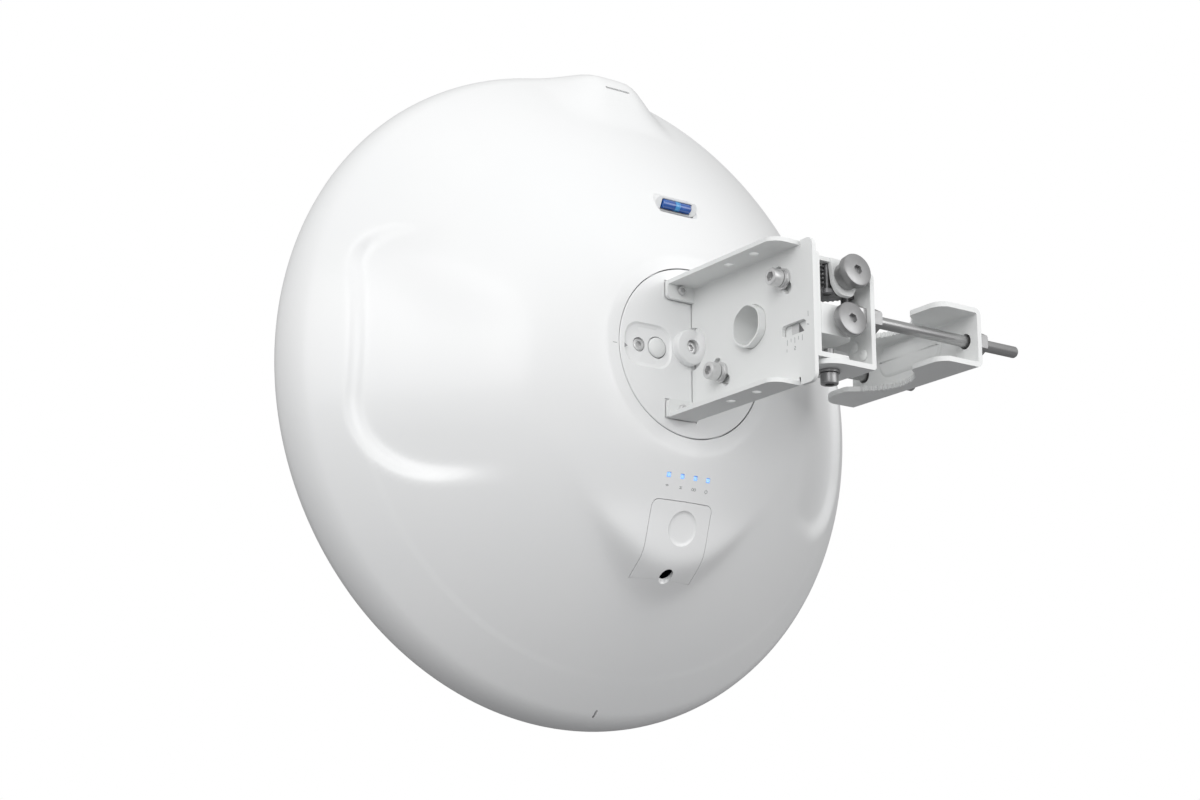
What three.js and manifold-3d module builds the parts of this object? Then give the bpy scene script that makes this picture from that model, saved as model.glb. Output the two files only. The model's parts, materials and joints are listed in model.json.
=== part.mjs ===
// Outdoor dish radio antenna with an adjustable pole mount.
// Millimetres, +Z up. The origin is the pole seat on the pole bracket's outer face.
// The dish looks along +Y; the pole stands at +X of the pole bracket.
// Everything is drawn in the dish frame (origin at the centre of the rim circle)
// inside one group, which is then shifted so that the pole seat lands on the origin.

import * as THREE from "three";
import { mergeVertices } from "three/addons/utils/BufferGeometryUtils.js";
import Module from "manifold-3d";

const wasm = await Module();
wasm.setup();

// ---------------------------------------------------------------- dimensions
const GAP = 0.3; // clearance between pieces that touch
const SHEET = 2.5; // bracket sheet thickness

const RIM_RADIUS = 206;
const RIM_BACK_ROUND = 30.5;
const RIM_FRONT_ROUND = 15;
const BACK_Y = -118.6; // flat back of the dish and of the hub disc
const BACK_FLAT_RADIUS = 60;
const SHELL_WALL = 2.5;
const DISC_RADIUS = 50.85;
const SHELL_SEGMENTS = 48;
const BOSS = { x: -2.5, z: 2.4, radius: 10.6, height: 5.6 }; // round the hub's centre screw

const CHIN = { top: 118, slope: 0.27, from: 60, edge: 101, edgeZ: 122, bow: 0.0095, fall: 1.45, side: 0.32 };
const LOBE = {
  height: 13.9, halfWidth: 43.8, flank: 33.8, radius: 192.9, reach: 35.8, back: 0.878, up: 0.479, fade: 28,
};
const GRIP = { depth: 7, side: 182, top: 72, bottom: -84, upperCorner: 30, lowerCorner: 52, wall: 12 };

const COVER = { top: -86.6, bottom: -128.5, halfWidth: 21, corner: 4 };
const LED_Z = -72.9;
const LED_PITCH = 9.27;
const VIAL = { y: -104.6, z: 94.5, radius: 3, halfLength: 10.2, cap: 15, half: 4.2, tilt: 28 };
const CABLE_HOLE = { y: -92, radius: 4.2 };

const ELEVATION = { y: -174.7, z: 2.3 }; // hinge line along X
const SLOT = { radius: 35, halfWidth: 3.3, travel: 11.6, angle: 145 };
const WEB = { x: 0.5, near: -228.4, half: 41 };
const FLANGE_LEFT = -18;
const FLANGE_END = { upper: -217.2, lower: -215 };
const SLIT = { width: 1.2, low: 36.5 }; // relief cuts where the folded flanges end
const FOOT_SCREW_Z = 35.6;

const AZIMUTH = { x: 20, y: -217 }; // hinge line along Z
const YOKE_X = WEB.x + SHEET + GAP;
const KNOB_TILT = 8.5; // degrees that the knob faces look up
const KNOB = { radius: 9.75, head: 5.5, collar: 7.8 };
const AZIMUTH_KNOB_FACE = [27.5, -234.8, 24.7];
const ELEVATION_KNOB_FACE = [22, -235.9, -4.4];

const POLE_PLATE_X = 38.5;
const POLE_PLATE_OUT = 41.5;
const SEAT = new THREE.Vector3(POLE_PLATE_OUT, -178.25, 1.8);
const ROD = { z: 1.8, near: -222, far: -134.5, radius: 3.4, hole: 4.5, tip: 157.4 };
const CLAMP = { web: 118, out: 121, open: 90, near: -232.3, far: -124.2, half: 17.5 };
const MOUTH = { outer: 28.4, inner: 23.5, depth: 7 };
const POLE_NOTCH = { x: 81.5, radius: 28, tooth: 1.3, teeth: 58 };

// ---------------------------------------------------------------- materials
function material(color, roughness, metalness = 0) {
  return new THREE.MeshStandardMaterial({ color, roughness, metalness });
}

const WHITE_SHELL = material(0xf1f3f3, 0.28);
const WHITE_COAT = material(0xe9ecec, 0.5);
const STEEL = material(0x8a8d8e, 0.32, 0.9);
const DARK_STEEL = material(0x3a3c3d, 0.4, 0.85);
const ALUMINIUM = material(0xb9bcbd, 0.4, 0.9);
const BLACK = material(0x26282a, 0.6);
const RUBBER = material(0x1d1e1f, 0.85);
const BOARD_GREEN = material(0x1f5a38, 0.55);
const LED_BLUE = material(0x5b8ff0, 0.3);
const VIAL_BLUE = material(0x1c4f9c, 0.12);

// ---------------------------------------------------------------- solids
const radians = THREE.MathUtils.degToRad;

function solidOf(geometry) {
  const bare = geometry.clone();
  bare.deleteAttribute("normal");
  bare.deleteAttribute("uv");
  const merged = mergeVertices(bare, 1e-4);
  return new wasm.Manifold(new wasm.Mesh({
    numProp: 3,
    vertProperties: new Float32Array(merged.attributes.position.array),
    triVerts: Uint32Array.from(merged.index.array),
  }));
}

function geometryOf(solid) {
  const mesh = solid.getMesh();
  const geometry = new THREE.BufferGeometry();
  geometry.setAttribute("position", new THREE.BufferAttribute(mesh.vertProperties, 3));
  geometry.setIndex(new THREE.BufferAttribute(mesh.triVerts, 1));
  geometry.computeVertexNormals();
  return geometry;
}

const antenna = new THREE.Group();
antenna.position.copy(SEAT).negate();

function part(name, shape, finish) {
  const mesh = new THREE.Mesh(geometryOf(shape), finish);
  mesh.name = name;
  antenna.add(mesh);
}

function join(first, ...rest) {
  return rest.reduce((whole, piece) => whole.add(piece), first);
}

function cut(first, ...rest) {
  return rest.reduce((whole, piece) => whole.subtract(piece), first);
}

// Closed outline from corners [a, b, fillet radius], with the fillets as arcs.
function outline(corners, arcStep = 24) {
  const points = [];
  corners.forEach(([a, b, radius = 0], i) => {
    const corner = new THREE.Vector2(a, b);
    if (radius === 0) {
      points.push(corner);
      return;
    }
    const [beforeA, beforeB] = corners.at(i - 1);
    const [afterA, afterB] = corners[(i + 1) % corners.length];
    const before = new THREE.Vector2(beforeA, beforeB).sub(corner).normalize();
    const after = new THREE.Vector2(afterA, afterB).sub(corner).normalize();
    const half = Math.acos(before.dot(after)) / 2;
    const bisector = before.clone().add(after).normalize();
    const centre = corner.clone().addScaledVector(bisector, radius / Math.sin(half));
    const start = corner.clone().addScaledVector(before, radius / Math.tan(half)).sub(centre);
    const sweep = Math.PI - 2 * half;
    const turn = Math.sign(before.x * after.y - before.y * after.x) * -1;
    const steps = Math.max(1, Math.ceil(THREE.MathUtils.radToDeg(sweep) / arcStep));
    for (let k = 0; k <= steps; k += 1) {
      const spoke = start.clone().rotateAround(new THREE.Vector2(), (turn * sweep * k) / steps);
      points.push(spoke.add(centre));
    }
  });
  return new THREE.Shape(points);
}

function disc(a, b, radius, sides = 16) {
  const points = [];
  for (let k = 0; k < sides; k += 1) {
    const angle = (2 * Math.PI * k) / sides;
    points.push(new THREE.Vector2(a + radius * Math.cos(angle), b + radius * Math.sin(angle)));
  }
  return new THREE.Shape(points);
}

// Toothed wheel outline: pointed teeth between the radius and the root below it.
function toothed(a, b, radius, tooth, teeth) {
  const points = [];
  for (let k = 0; k < 2 * teeth; k += 1) {
    const angle = (Math.PI * k) / teeth;
    const reach = radius - (k % 2) * tooth;
    points.push(new THREE.Vector2(a + reach * Math.cos(angle), b + reach * Math.sin(angle)));
  }
  return new THREE.Shape(points);
}

function rectangle(a0, b0, a1, b1, radius = 0) {
  return outline([[a0, b0, radius], [a1, b0, radius], [a1, b1, radius], [a0, b1, radius]]);
}

// Sheets: an outline in (y, z), (x, z) or (x, y), thick along the axis that is left.
const SHEET_FRAMES = {
  x: new THREE.Matrix4().makeBasis(
    new THREE.Vector3(0, 1, 0), new THREE.Vector3(0, 0, 1), new THREE.Vector3(1, 0, 0)),
  y: new THREE.Matrix4().makeBasis(
    new THREE.Vector3(1, 0, 0), new THREE.Vector3(0, 0, 1), new THREE.Vector3(0, -1, 0)),
  z: new THREE.Matrix4(),
};

function sheet(axis, shape, low, high) {
  const geometry = new THREE.ExtrudeGeometry(shape, { depth: high - low, bevelEnabled: false });
  geometry.applyMatrix4(SHEET_FRAMES[axis]);
  const start = { x: [low, 0, 0], y: [0, high, 0], z: [0, 0, low] }[axis];
  return geometry.translate(...start);
}

function slab(axis, shape, low, high) {
  return solidOf(sheet(axis, shape, low, high));
}

// Turned piece: profile of [radius, height] pairs, its axis laid along a direction.
function turned(profile, base, direction, sides = 14) {
  const points = profile.map(([radius, height]) => new THREE.Vector2(radius, height));
  const geometry = new THREE.LatheGeometry(points, sides);
  const up = new THREE.Vector3(0, 1, 0);
  const along = new THREE.Vector3(...direction).normalize();
  geometry.applyQuaternion(new THREE.Quaternion().setFromUnitVectors(up, along));
  geometry.translate(...base);
  return solidOf(geometry);
}

function ring(inner, outer, height, base, direction, sides = 14) {
  const profile = [[inner, 0], [outer, 0], [outer, height], [inner, height], [inner, 0]];
  return turned(profile, base, direction, sides);
}

function pin(radius, height, base, direction, sides = 14) {
  return turned([[0, 0], [radius, 0], [radius, height], [0, height]], base, direction, sides);
}

function hexagon(acrossFlats, height, base, direction) {
  return pin(acrossFlats / Math.sqrt(3), height, base, direction, 6);
}

// ---------------------------------------------------------------- shell surface
function smooth(t) {
  const s = THREE.MathUtils.clamp(t, 0, 1);
  return s * s * (3 - 2 * s);
}

function softMax(a, b, blend) {
  return 0.5 * (a + b + Math.sqrt((a - b) ** 2 + blend ** 2));
}

function softMin(a, b, blend) {
  return 0.5 * (a + b - Math.sqrt((a - b) ** 2 + blend ** 2));
}

// How far the chin stands behind the rim plane at (x, z).
function chinDepth(x, z) {
  const down = -z;
  const top = CHIN.top - CHIN.slope * (down - CHIN.from);
  const underside = CHIN.edge - CHIN.fall * (down - CHIN.edgeZ + CHIN.bow * x * x);
  const side = CHIN.top - 3 - CHIN.side * (Math.abs(x) - 18) - 0.1 * (down - CHIN.from);
  return softMin(softMin(top, underside, 6), side, 8);
}

// Two hand grips: the shell steps in beside the rim and fades out towards the hub.
function gripDepth(x, z) {
  const corner = z > 0 ? GRIP.upperCorner : GRIP.lowerCorner;
  const past = Math.abs(x) - GRIP.side + corner;
  const beyond = (z > 0 ? z - GRIP.top : GRIP.bottom - z) + corner;
  const round = Math.hypot(Math.max(past, 0), Math.max(beyond, 0));
  const inside = corner - round - Math.min(Math.max(past, beyond), 0);
  const reach = 95 + 35 * smooth(z / 60);
  return GRIP.depth * smooth(inside / GRIP.wall) * smooth((Math.abs(x) - reach) / 55);
}

function shellPoint(radius, y, angle) {
  const x = radius * Math.cos(angle);
  const z = radius * Math.sin(angle);
  let depth = -y - (y < 0 ? gripDepth(x, z) : 0);
  const rise = softMax(depth, chinDepth(x, z), 4) - 0.25 - depth;
  if (y < -40) depth += rise * smooth((-z - 48) / 16);
  const across = smooth((LOBE.halfWidth - Math.abs(x)) / LOBE.flank);
  const along = smooth(1 - Math.abs(radius - LOBE.radius) / LOBE.reach) * smooth(-y / LOBE.fade);
  const lift = z > 0 ? LOBE.height * across * along : 0;
  return new THREE.Vector3(x, -depth - LOBE.back * lift, z + LOBE.up * lift);
}

// Back profile from the hub seam, over the rim, to the front lip: [radius, y] pairs.
function shellProfile() {
  const path = new THREE.Path();
  const turn = radians(45);
  const centre = RIM_RADIUS - RIM_BACK_ROUND;
  const edge = [centre + RIM_BACK_ROUND * Math.cos(turn), -RIM_BACK_ROUND * Math.sin(turn)];
  const lean = radians(47);
  const pull = 40;
  const start = new THREE.Vector2(DISC_RADIUS + GAP, BACK_Y);
  path.moveTo(start.x, start.y);
  path.lineTo(BACK_FLAT_RADIUS, BACK_Y + 0.1);
  const near = [edge[0] - pull * Math.cos(lean), edge[1] - pull * Math.sin(lean)];
  path.bezierCurveTo(110, -107.9, ...near, ...edge);
  const points = path.getPoints(10);
  for (let k = 1; k <= 2; k += 1) {
    const a = turn * (1 - k / 2);
    points.push(new THREE.Vector2(centre + RIM_BACK_ROUND * Math.cos(a), -RIM_BACK_ROUND * Math.sin(a)));
  }
  for (let k = 1; k <= 2; k += 1) {
    const a = radians(36 * k);
    const inner = RIM_RADIUS - RIM_FRONT_ROUND;
    points.push(new THREE.Vector2(inner + RIM_FRONT_ROUND * Math.cos(a), RIM_FRONT_ROUND * Math.sin(a)));
  }
  return points;
}

// Skin between two copies of the profile, the second one moved in by the wall.
function shellSolid() {
  const outer = shellProfile();
  const inner = outer.map((point, i) => {
    const before = outer[Math.max(i - 1, 0)];
    const after = outer[Math.min(i + 1, outer.length - 1)];
    const along = after.clone().sub(before).normalize();
    return point.clone().add(new THREE.Vector2(-along.y, along.x).multiplyScalar(SHELL_WALL));
  });
  const loop = [...outer, ...inner.reverse()];
  const positions = [];
  for (let k = 0; k < SHELL_SEGMENTS; k += 1) {
    const angle = (2 * Math.PI * k) / SHELL_SEGMENTS;
    loop.forEach((point, i) => {
      const mate = i < outer.length ? point : outer[loop.length - 1 - i];
      const skin = shellPoint(mate.x, mate.y, angle);
      const plain = new THREE.Vector3(mate.x * Math.cos(angle), mate.y, mate.x * Math.sin(angle));
      const own = new THREE.Vector3(point.x * Math.cos(angle), point.y, point.x * Math.sin(angle));
      positions.push(...own.add(skin).sub(plain).toArray());
    });
  }
  const index = [];
  const count = loop.length;
  for (let k = 0; k < SHELL_SEGMENTS; k += 1) {
    const next = (k + 1) % SHELL_SEGMENTS;
    for (let i = 0; i < count; i += 1) {
      const j = (i + 1) % count;
      index.push(k * count + i, k * count + j, next * count + i);
      index.push(next * count + i, k * count + j, next * count + j);
    }
  }
  const geometry = new THREE.BufferGeometry();
  geometry.setAttribute("position", new THREE.Float32BufferAttribute(positions, 3));
  geometry.setIndex(index);
  return solidOf(geometry);
}

// ---------------------------------------------------------------- dish
function coverOutline(grow) {
  const side = COVER.halfWidth + grow;
  const corner = COVER.corner + grow;
  const top = COVER.top + grow;
  const bottom = COVER.bottom - grow;
  return outline([[-side, bottom], [side, bottom], [side, top, corner], [-side, top, corner]]);
}

function addShell() {
  const shell = shellSolid();
  const coverSpace = slab("y", coverOutline(GAP), -135, -70);
  const vialSpace = solidOf(vialBlock(GAP, 20, 20));
  const cable = pin(CABLE_HOLE.radius, 30, [0, CABLE_HOLE.y, -140], [0, 0, 1]);
  const ledSpaces = [-1.5, -0.5, 0.5, 1.5].map((k) => (
    slab("y", rectangle(k * LED_PITCH - 1.6, LED_Z - 1.6, k * LED_PITCH + 1.6, LED_Z + 1.6), -125, -100)));
  const drain = slab("y", rectangle(-0.8, -200, 0.8, -196), -40, 0);
  part("rear_shell", cut(shell, coverSpace, vialSpace, drain, cable, ...ledSpaces), WHITE_SHELL);

  const thumb = solidOf(new THREE.SphereGeometry(22, 20, 14).translate(2.4, -125.5, -101.5));
  const cover = shell.intersect(slab("y", coverOutline(0), -135, -70));
  part("port_cover", cut(cover, cable, thumb), WHITE_SHELL);
}

function addFront() {
  const edge = 193.4;
  const radome = [[0, 22], [edge * 0.5, 20], [edge * 0.8, 16.6], [edge, 12.6],
    [edge, 10.6], [edge * 0.8, 14.6], [edge * 0.5, 18], [0, 20]];
  part("front_radome", turned(radome.reverse(), [0, 0, 0], [0, 1, 0], 40), WHITE_SHELL);
  part("radome_seal", ring(187, 191.6, 3, [0, 7.2, 0], [0, 1, 0], 32), RUBBER);
}

const REFLECTOR = { rim: 186, vertexY: -66, hole: 17 };

function reflectorY(radius) {
  const rise = -2 - REFLECTOR.vertexY;
  return REFLECTOR.vertexY + rise * (radius / REFLECTOR.rim) ** 2;
}

function addReflector() {
  const radii = [REFLECTOR.hole, 70, 120, 156, REFLECTOR.rim];
  const front = radii.map((radius) => [radius, reflectorY(radius)]);
  const back = radii.map((radius) => [radius, reflectorY(radius) - 1.6]);
  const loop = [...back, ...front.reverse()];
  part("reflector", turned([...loop, loop[0]], [0, 0, 0], [0, 1, 0], 32), ALUMINIUM);

  const tube = [[9, -84], [16, -84], [16, -30], [11, -26], [9, -26], [9, -84]];
  part("feed_tube", turned(tube, [0, 0, 0], [0, 1, 0]), ALUMINIUM);
  const cone = [[0, -25.7], [10.5, -25.7], [24, -9], [24, -6], [0, -6]];
  part("feed_horn", turned(cone, [0, 0, 0], [0, 1, 0]), WHITE_COAT);
  const mirror = [[0, -5.7], [24, -5.7], [27, -3], [27, -1], [0, 3]];
  part("subreflector", turned(mirror, [0, 0, 0], [0, 1, 0]), ALUMINIUM);
}

function addElectronics() {
  const chassis = rectangle(-54, -56, 54, 60, 10);
  part("radio_chassis", slab("y", chassis, -92, -88.3), ALUMINIUM);
  part("radio_board", slab("y", rectangle(-48, -50, 48, 54, 4), -94.6, -92.3), BOARD_GREEN);
  part("shield_can", slab("y", rectangle(-30, -24, 30, 34, 3), -101, -94.9), STEEL);

  const body = slab("y", rectangle(-9, -104, 9, -84, 1), -100, -86);
  const socket = slab("y", rectangle(-6, -106, 6, -92), -98, -90);
  part("data_jack", cut(body, socket), BLACK);

  part("cable_gland", ring(3.2, 5.2, 4, [0, CABLE_HOLE.y, -114.8], [0, 0, 1]), RUBBER);
}

// Block round the level vial, lying along the slope of the shell.
function vialBlock(grow, above, below) {
  const halfLength = VIAL.cap + grow;
  const half = VIAL.half + grow;
  const shape = rectangle(-halfLength, -half, halfLength, half, 1.7);
  const block = sheet("y", shape, -above - 0.6, below);
  return block.rotateX(radians(VIAL.tilt)).translate(0, VIAL.y, VIAL.z);
}

function addIndicators() {
  [-1.5, -0.5, 0.5, 1.5].forEach((k, i) => {
    const x = k * LED_PITCH;
    const lens = rectangle(x - 1.25, LED_Z - 1.25, x + 1.25, LED_Z + 1.25);
    part(`led_lens_${i + 1}`, slab("y", lens, -114.6, -108), LED_BLUE);
  });
  const tray = solidOf(vialBlock(0, 0, 7));
  const bed = pin(VIAL.radius + GAP, 2 * VIAL.halfLength + 1.2, [-VIAL.halfLength - 0.6, VIAL.y, VIAL.z], [1, 0, 0]);
  part("vial_cradle", cut(tray, bed), WHITE_COAT);
  const tube = pin(VIAL.radius, 2 * VIAL.halfLength, [-VIAL.halfLength, VIAL.y, VIAL.z], [1, 0, 0]);
  part("level_vial", tube, VIAL_BLUE);
}

function addHubDisc() {
  const body = slab("y", disc(0, 0, DISC_RADIUS, 40), BACK_Y, BACK_Y + 5);
  const boss = pin(BOSS.radius, BOSS.height, [BOSS.x, BACK_Y + 0.2, BOSS.z], [0, -1, 0], 20);
  const bossWell = pin(4.4, 9.8, [BOSS.x, -127, BOSS.z], [0, 1, 0]);
  const pocket = slab("y", rectangle(-47, -13, -14, 13, 6), BACK_Y - 1, BACK_Y + 1.6);
  const ventHole = pin(6.3, 12, [-23.4, BACK_Y - 2, 0.1], [0, 1, 0], 20);
  const screwWell = pin(4.2, 12, [-36, BACK_Y - 2, 0], [0, 1, 0]);
  part("hub_disc", cut(join(body, boss), bossWell, pocket, ventHole, screwWell), WHITE_SHELL);

  const vent = [[0, 0], [4.5, 0], [5.9, 1], [6, 4], [6, 6], [0, 6]];
  part("vent_plug", turned(vent, [-23.4, BACK_Y + 0.6, 0.1], [0, 1, 0], 16), WHITE_COAT);
  part("disc_screw", screwSolid(3.8, [-36, BACK_Y + 1.9, 0], [0, 1, 0]), STEEL);
  part("centre_screw", screwSolid(4.1, [BOSS.x, -121.5, BOSS.z], [0, 1, 0]), STEEL);

  const retainer = ring(40, 56, 2.5, [0, -112.9, 0], [0, 1, 0], 28);
  part("disc_retainer", retainer, ALUMINIUM);
}

// Round-headed screw seen from its head; the direction points into the material.
function screwSolid(headRadius, base, direction) {
  const shank = headRadius * 0.55;
  const profile = [[0, 0], [headRadius - 0.4, 0], [headRadius, 0.4], [headRadius, 2.2],
    [shank, 2.2], [shank, 4], [0, 4]];
  const start = new THREE.Vector3(...base);
  const into = new THREE.Vector3(...direction).normalize();
  const socketBase = start.clone().addScaledVector(into, -1);
  return cut(turned(profile, base, direction, 12), hexagon(headRadius * 0.9, 2.2, socketBase.toArray(), direction));
}

// ---------------------------------------------------------------- main bracket
function arcSlot(centreY, centreZ, angle) {
  const shape = new THREE.Shape();
  const from = radians(angle - SLOT.travel);
  const to = radians(angle + SLOT.travel);
  const outer = SLOT.radius + SLOT.halfWidth;
  const inner = SLOT.radius - SLOT.halfWidth;
  const tip = (a) => [centreY + SLOT.radius * Math.cos(a), centreZ + SLOT.radius * Math.sin(a)];
  shape.absarc(centreY, centreZ, outer, from, to, false);
  shape.absarc(...tip(to), SLOT.halfWidth, to, to + Math.PI, false);
  shape.absarc(centreY, centreZ, inner, to, from, true);
  shape.absarc(...tip(from), SLOT.halfWidth, from + Math.PI, from + 2 * Math.PI, false);
  return new THREE.Shape(shape.getPoints(3));
}

function boltPlace(angle) {
  const a = radians(angle);
  return [ELEVATION.y + SLOT.radius * Math.cos(a), ELEVATION.z + SLOT.radius * Math.sin(a)];
}

function flangeOutline(back, end) {
  return outline([
    [WEB.x + SHEET, back], [FLANGE_LEFT, back], [FLANGE_LEFT, end, 9], [WEB.x + SHEET, end],
  ]);
}

function addMainBracket() {
  const back = BACK_Y - GAP;
  const web = slab("x", outline([
    [back, -WEB.half], [WEB.near, -WEB.half, 5], [WEB.near, WEB.half, 5], [back, WEB.half],
  ]), WEB.x, WEB.x + SHEET);
  const upper = slab("z", flangeOutline(back, FLANGE_END.upper), WEB.half - SHEET, WEB.half);
  const lower = slab("z", flangeOutline(back, FLANGE_END.lower), -WEB.half, SHEET - WEB.half);
  const footUp = slab("y", rectangle(-18.5, 30, 2.9, WEB.half), back - SHEET, back);
  const footDown = slab("y", rectangle(-18.5, -WEB.half, 2.9, -30), back - SHEET, back);

  const cuts = [
    slab("x", disc(back, BOSS.z, BOSS.radius + 2.2, 24), -5, 8),
    slab("x", arcSlot(ELEVATION.y, ELEVATION.z, SLOT.angle), -5, 8),
    slab("x", arcSlot(ELEVATION.y, ELEVATION.z, SLOT.angle - 180), -5, 8),
    slab("x", rectangle(-221.5, -11.5, -200.9, -4.5, 2.5), -5, 8),
    slab("x", rectangle(FLANGE_END.lower - SLIT.width, -45, FLANGE_END.lower, -SLIT.low), -5, 8),
    slab("x", rectangle(FLANGE_END.upper - SLIT.width, SLIT.low, FLANGE_END.upper, 45), -5, 8),
    pivotHexagon(0.3, -5, 8),
  ];
  for (const y of [-168, -191]) {
    cuts.push(pin(2.7, 100, [-10, y, -50], [0, 0, 1], 12));
  }
  for (const z of [-FOOT_SCREW_Z, FOOT_SCREW_Z]) {
    cuts.push(pin(1.8, 10, [-9, back - 6, z], [0, 1, 0], 10));
  }
  part("main_bracket", cut(join(web, upper, lower, footUp, footDown), ...cuts), WHITE_COAT);
  const headTop = back - SHEET - 2.5;
  part("foot_screw_upper", screwSolid(2.6, [-9, headTop, FOOT_SCREW_Z], [0, 1, 0]), STEEL);
  part("foot_screw_lower", screwSolid(2.6, [-9, headTop, -FOOT_SCREW_Z], [0, 1, 0]), STEEL);
}

// Rounded hexagon with upright flats about the elevation hinge line.
function pivotHexagon(grow, low, high, acrossFlats = 24.2, corner = 9) {
  const vertex = (acrossFlats / 2 + grow) / Math.cos(Math.PI / 6);
  const corners = [];
  for (let k = 0; k < 6; k += 1) {
    const a = radians(30 + 60 * k);
    corners.push([ELEVATION.y + vertex * Math.cos(a), ELEVATION.z + vertex * Math.sin(a), corner + grow]);
  }
  return slab("x", outline(corners, 30), low, high);
}

function addPivot() {
  const step = WEB.x + SHEET + GAP;
  const front = pivotHexagon(0, -4, step + 1);
  const sleeve = pin(12.6, 14, [step, ELEVATION.y, ELEVATION.z], [1, 0, 0], 24);
  const bore = pivotHexagon(0, -5, 15.8, 22, 8);
  part("pivot_bushing", cut(join(front, sleeve), bore), WHITE_COAT);

  const wheel = toothed(ELEVATION.y, ELEVATION.z, 10.9, 1.3, 22);
  part("elevation_wheel", slab("x", wheel, 18.3, 25.5), DARK_STEEL);
}

// ---------------------------------------------------------------- yoke
function knobDirection() {
  return [0, Math.cos(radians(KNOB_TILT)), -Math.sin(radians(KNOB_TILT))];
}

function alongKnob(face, distance) {
  const [, dy, dz] = knobDirection();
  return [face[0], face[1] + dy * distance, face[2] + dz * distance];
}

function earSolid() {
  const centre = alongKnob(AZIMUTH_KNOB_FACE, 11.7);
  const shape = outline([
    [-8.6, 10.6], [-8.6, -4.6, 5], [-5.5, -11.2, 6], [4, -11.2, 4], [7.2, -6.2, 2],
    [9.2, 4, 2], [9.2, 10.6, 6],
  ]);
  const geometry = new THREE.ExtrudeGeometry(shape, { depth: SHEET, bevelEnabled: false });
  const tilt = radians(KNOB_TILT);
  geometry.applyMatrix4(new THREE.Matrix4().makeRotationX(Math.PI / 2 - tilt));
  geometry.translate(...centre);
  const [, dy, dz] = knobDirection();
  geometry.translate(0, SHEET * dy, SHEET * dz);
  return solidOf(geometry);
}

function addYoke() {
  const x = YOKE_X;
  const plate = slab("x", outline([
    [-228, -26.7, 2], [-160, -26.7, 8], [-138, -22, 8], [-138, -6, 8], [-160, 16, 8],
    [-185, 33.5, 8], [-228, 33.5, 3],
  ]), x, x + SHEET);
  const top = slab("z", outline([
    [x, -221.2], [31, -221.2], [31, -206, 11], [x, -206],
  ]), 31, 33.5);
  const bottom = slab("z", outline([
    [x, -228], [AZIMUTH.x + 11, -228, 10.5], [AZIMUTH.x + 11, -206, 10.5], [x, -206],
  ]), -26.7, -23.9);
  const cuts = [
    pin(13.2, 12, [x - 3, ELEVATION.y, ELEVATION.z], [1, 0, 0], 24),
    pin(3.3, 20, [AZIMUTH.x, AZIMUTH.y, -35], [0, 0, 1]),
    slab("x", rectangle(-222.3, -13, -200.1, -3), x - 1, x + 1.2),
  ];
  for (const angle of [SLOT.angle, SLOT.angle - 180]) {
    cuts.push(pin(3.3, 12, [x - 3, ...boltPlace(angle)], [1, 0, 0], 14));
  }
  cuts.push(pin(3.9, 8, alongKnob(AZIMUTH_KNOB_FACE, 9), knobDirection()));
  part("yoke_bracket", cut(join(plate, top, bottom, earSolid()), ...cuts), WHITE_COAT);
  part("index_plate", slab("x", rectangle(-221.8, -12.5, -200.6, -3.5, 1), x + 0.1, x + 0.9), WHITE_COAT);

  const stud = [[0, 0], [2, 0], [2, 13], [2.2, 13], [2.2, 16.8], [0, 16.8]];
  part("azimuth_pin", turned(stud, [AZIMUTH.x, AZIMUTH.y, 13.9], [0, 0, 1]), DARK_STEEL);
}

function addLockBolt(name, angle) {
  const [y, z] = boltPlace(angle);
  const outward = [-1, 0, 0];
  const face = WEB.x - GAP;
  const washers = [[3.3, 0], [6, 0], [6, 1.3], [5.2, 1.4], [5.2, 3], [3.3, 3], [3.3, 0]];
  part(`${name}_washers`, turned(washers, [face, y, z], outward), STEEL);
  const under = face - 3.3;
  const profile = [[0, -15], [2.9, -15], [2.9, 0], [5, 0], [5, 5.5], [4.5, 6], [0, 6]];
  const bolt = turned(profile, [under, y, z], outward);
  const socket = hexagon(5, 4, [under - 3, y, z], outward);
  part(`${name}_bolt`, cut(bolt, socket), STEEL);
  const nut = cut(
    hexagon(10, 5, [YOKE_X + SHEET + GAP, y, z], [1, 0, 0]),
    pin(3.2, 8, [YOKE_X + SHEET - 1, y, z], [1, 0, 0], 14),
  );
  part(`${name}_nut`, nut, STEEL);
}

function addHousing() {
  const x0 = YOKE_X + SHEET + GAP;
  const body = slab("z", outline([
    [x0, -227.6, 1], [31, -227.6, 8], [31, -205, 8], [x0, -205],
  ]), -13.3, 3.9);
  const bore = pin(4.2, 60, alongKnob(ELEVATION_KNOB_FACE, -4), knobDirection());
  part("elevation_housing", cut(body, bore), WHITE_COAT);
}

// Knurled knob with a bevelled head, a hex socket, a collar and a shaft.
function knobSolid(face, collarLength, shaftLength) {
  const r = KNOB.radius;
  const headEnd = KNOB.head;
  const collarEnd = headEnd + collarLength;
  const shaftEnd = collarEnd + shaftLength;
  const profile = [[0, 0], [r - 1, 0], [r, 0.9], [r, headEnd - 0.6], [r - 0.6, headEnd],
    [KNOB.collar, headEnd + 0.4], [KNOB.collar, collarEnd], [3.4, collarEnd],
    [3.4, shaftEnd], [0, shaftEnd]];
  const body = turned(profile, face, knobDirection(), 24);
  return cut(body, hexagon(5, 5, alongKnob(face, -1), knobDirection()));
}

function wormSolid(face, start, length, radius) {
  const profile = [[0, 0], [radius - 1, 0]];
  const turns = Math.round(length / 3);
  for (let k = 0; k < turns; k += 1) {
    profile.push([radius, (k + 0.35) * (length / turns)]);
    profile.push([radius - 1, (k + 0.85) * (length / turns)]);
  }
  profile.push([radius - 1, length], [0, length]);
  return turned(profile, alongKnob(face, start), knobDirection(), 12);
}

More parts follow.
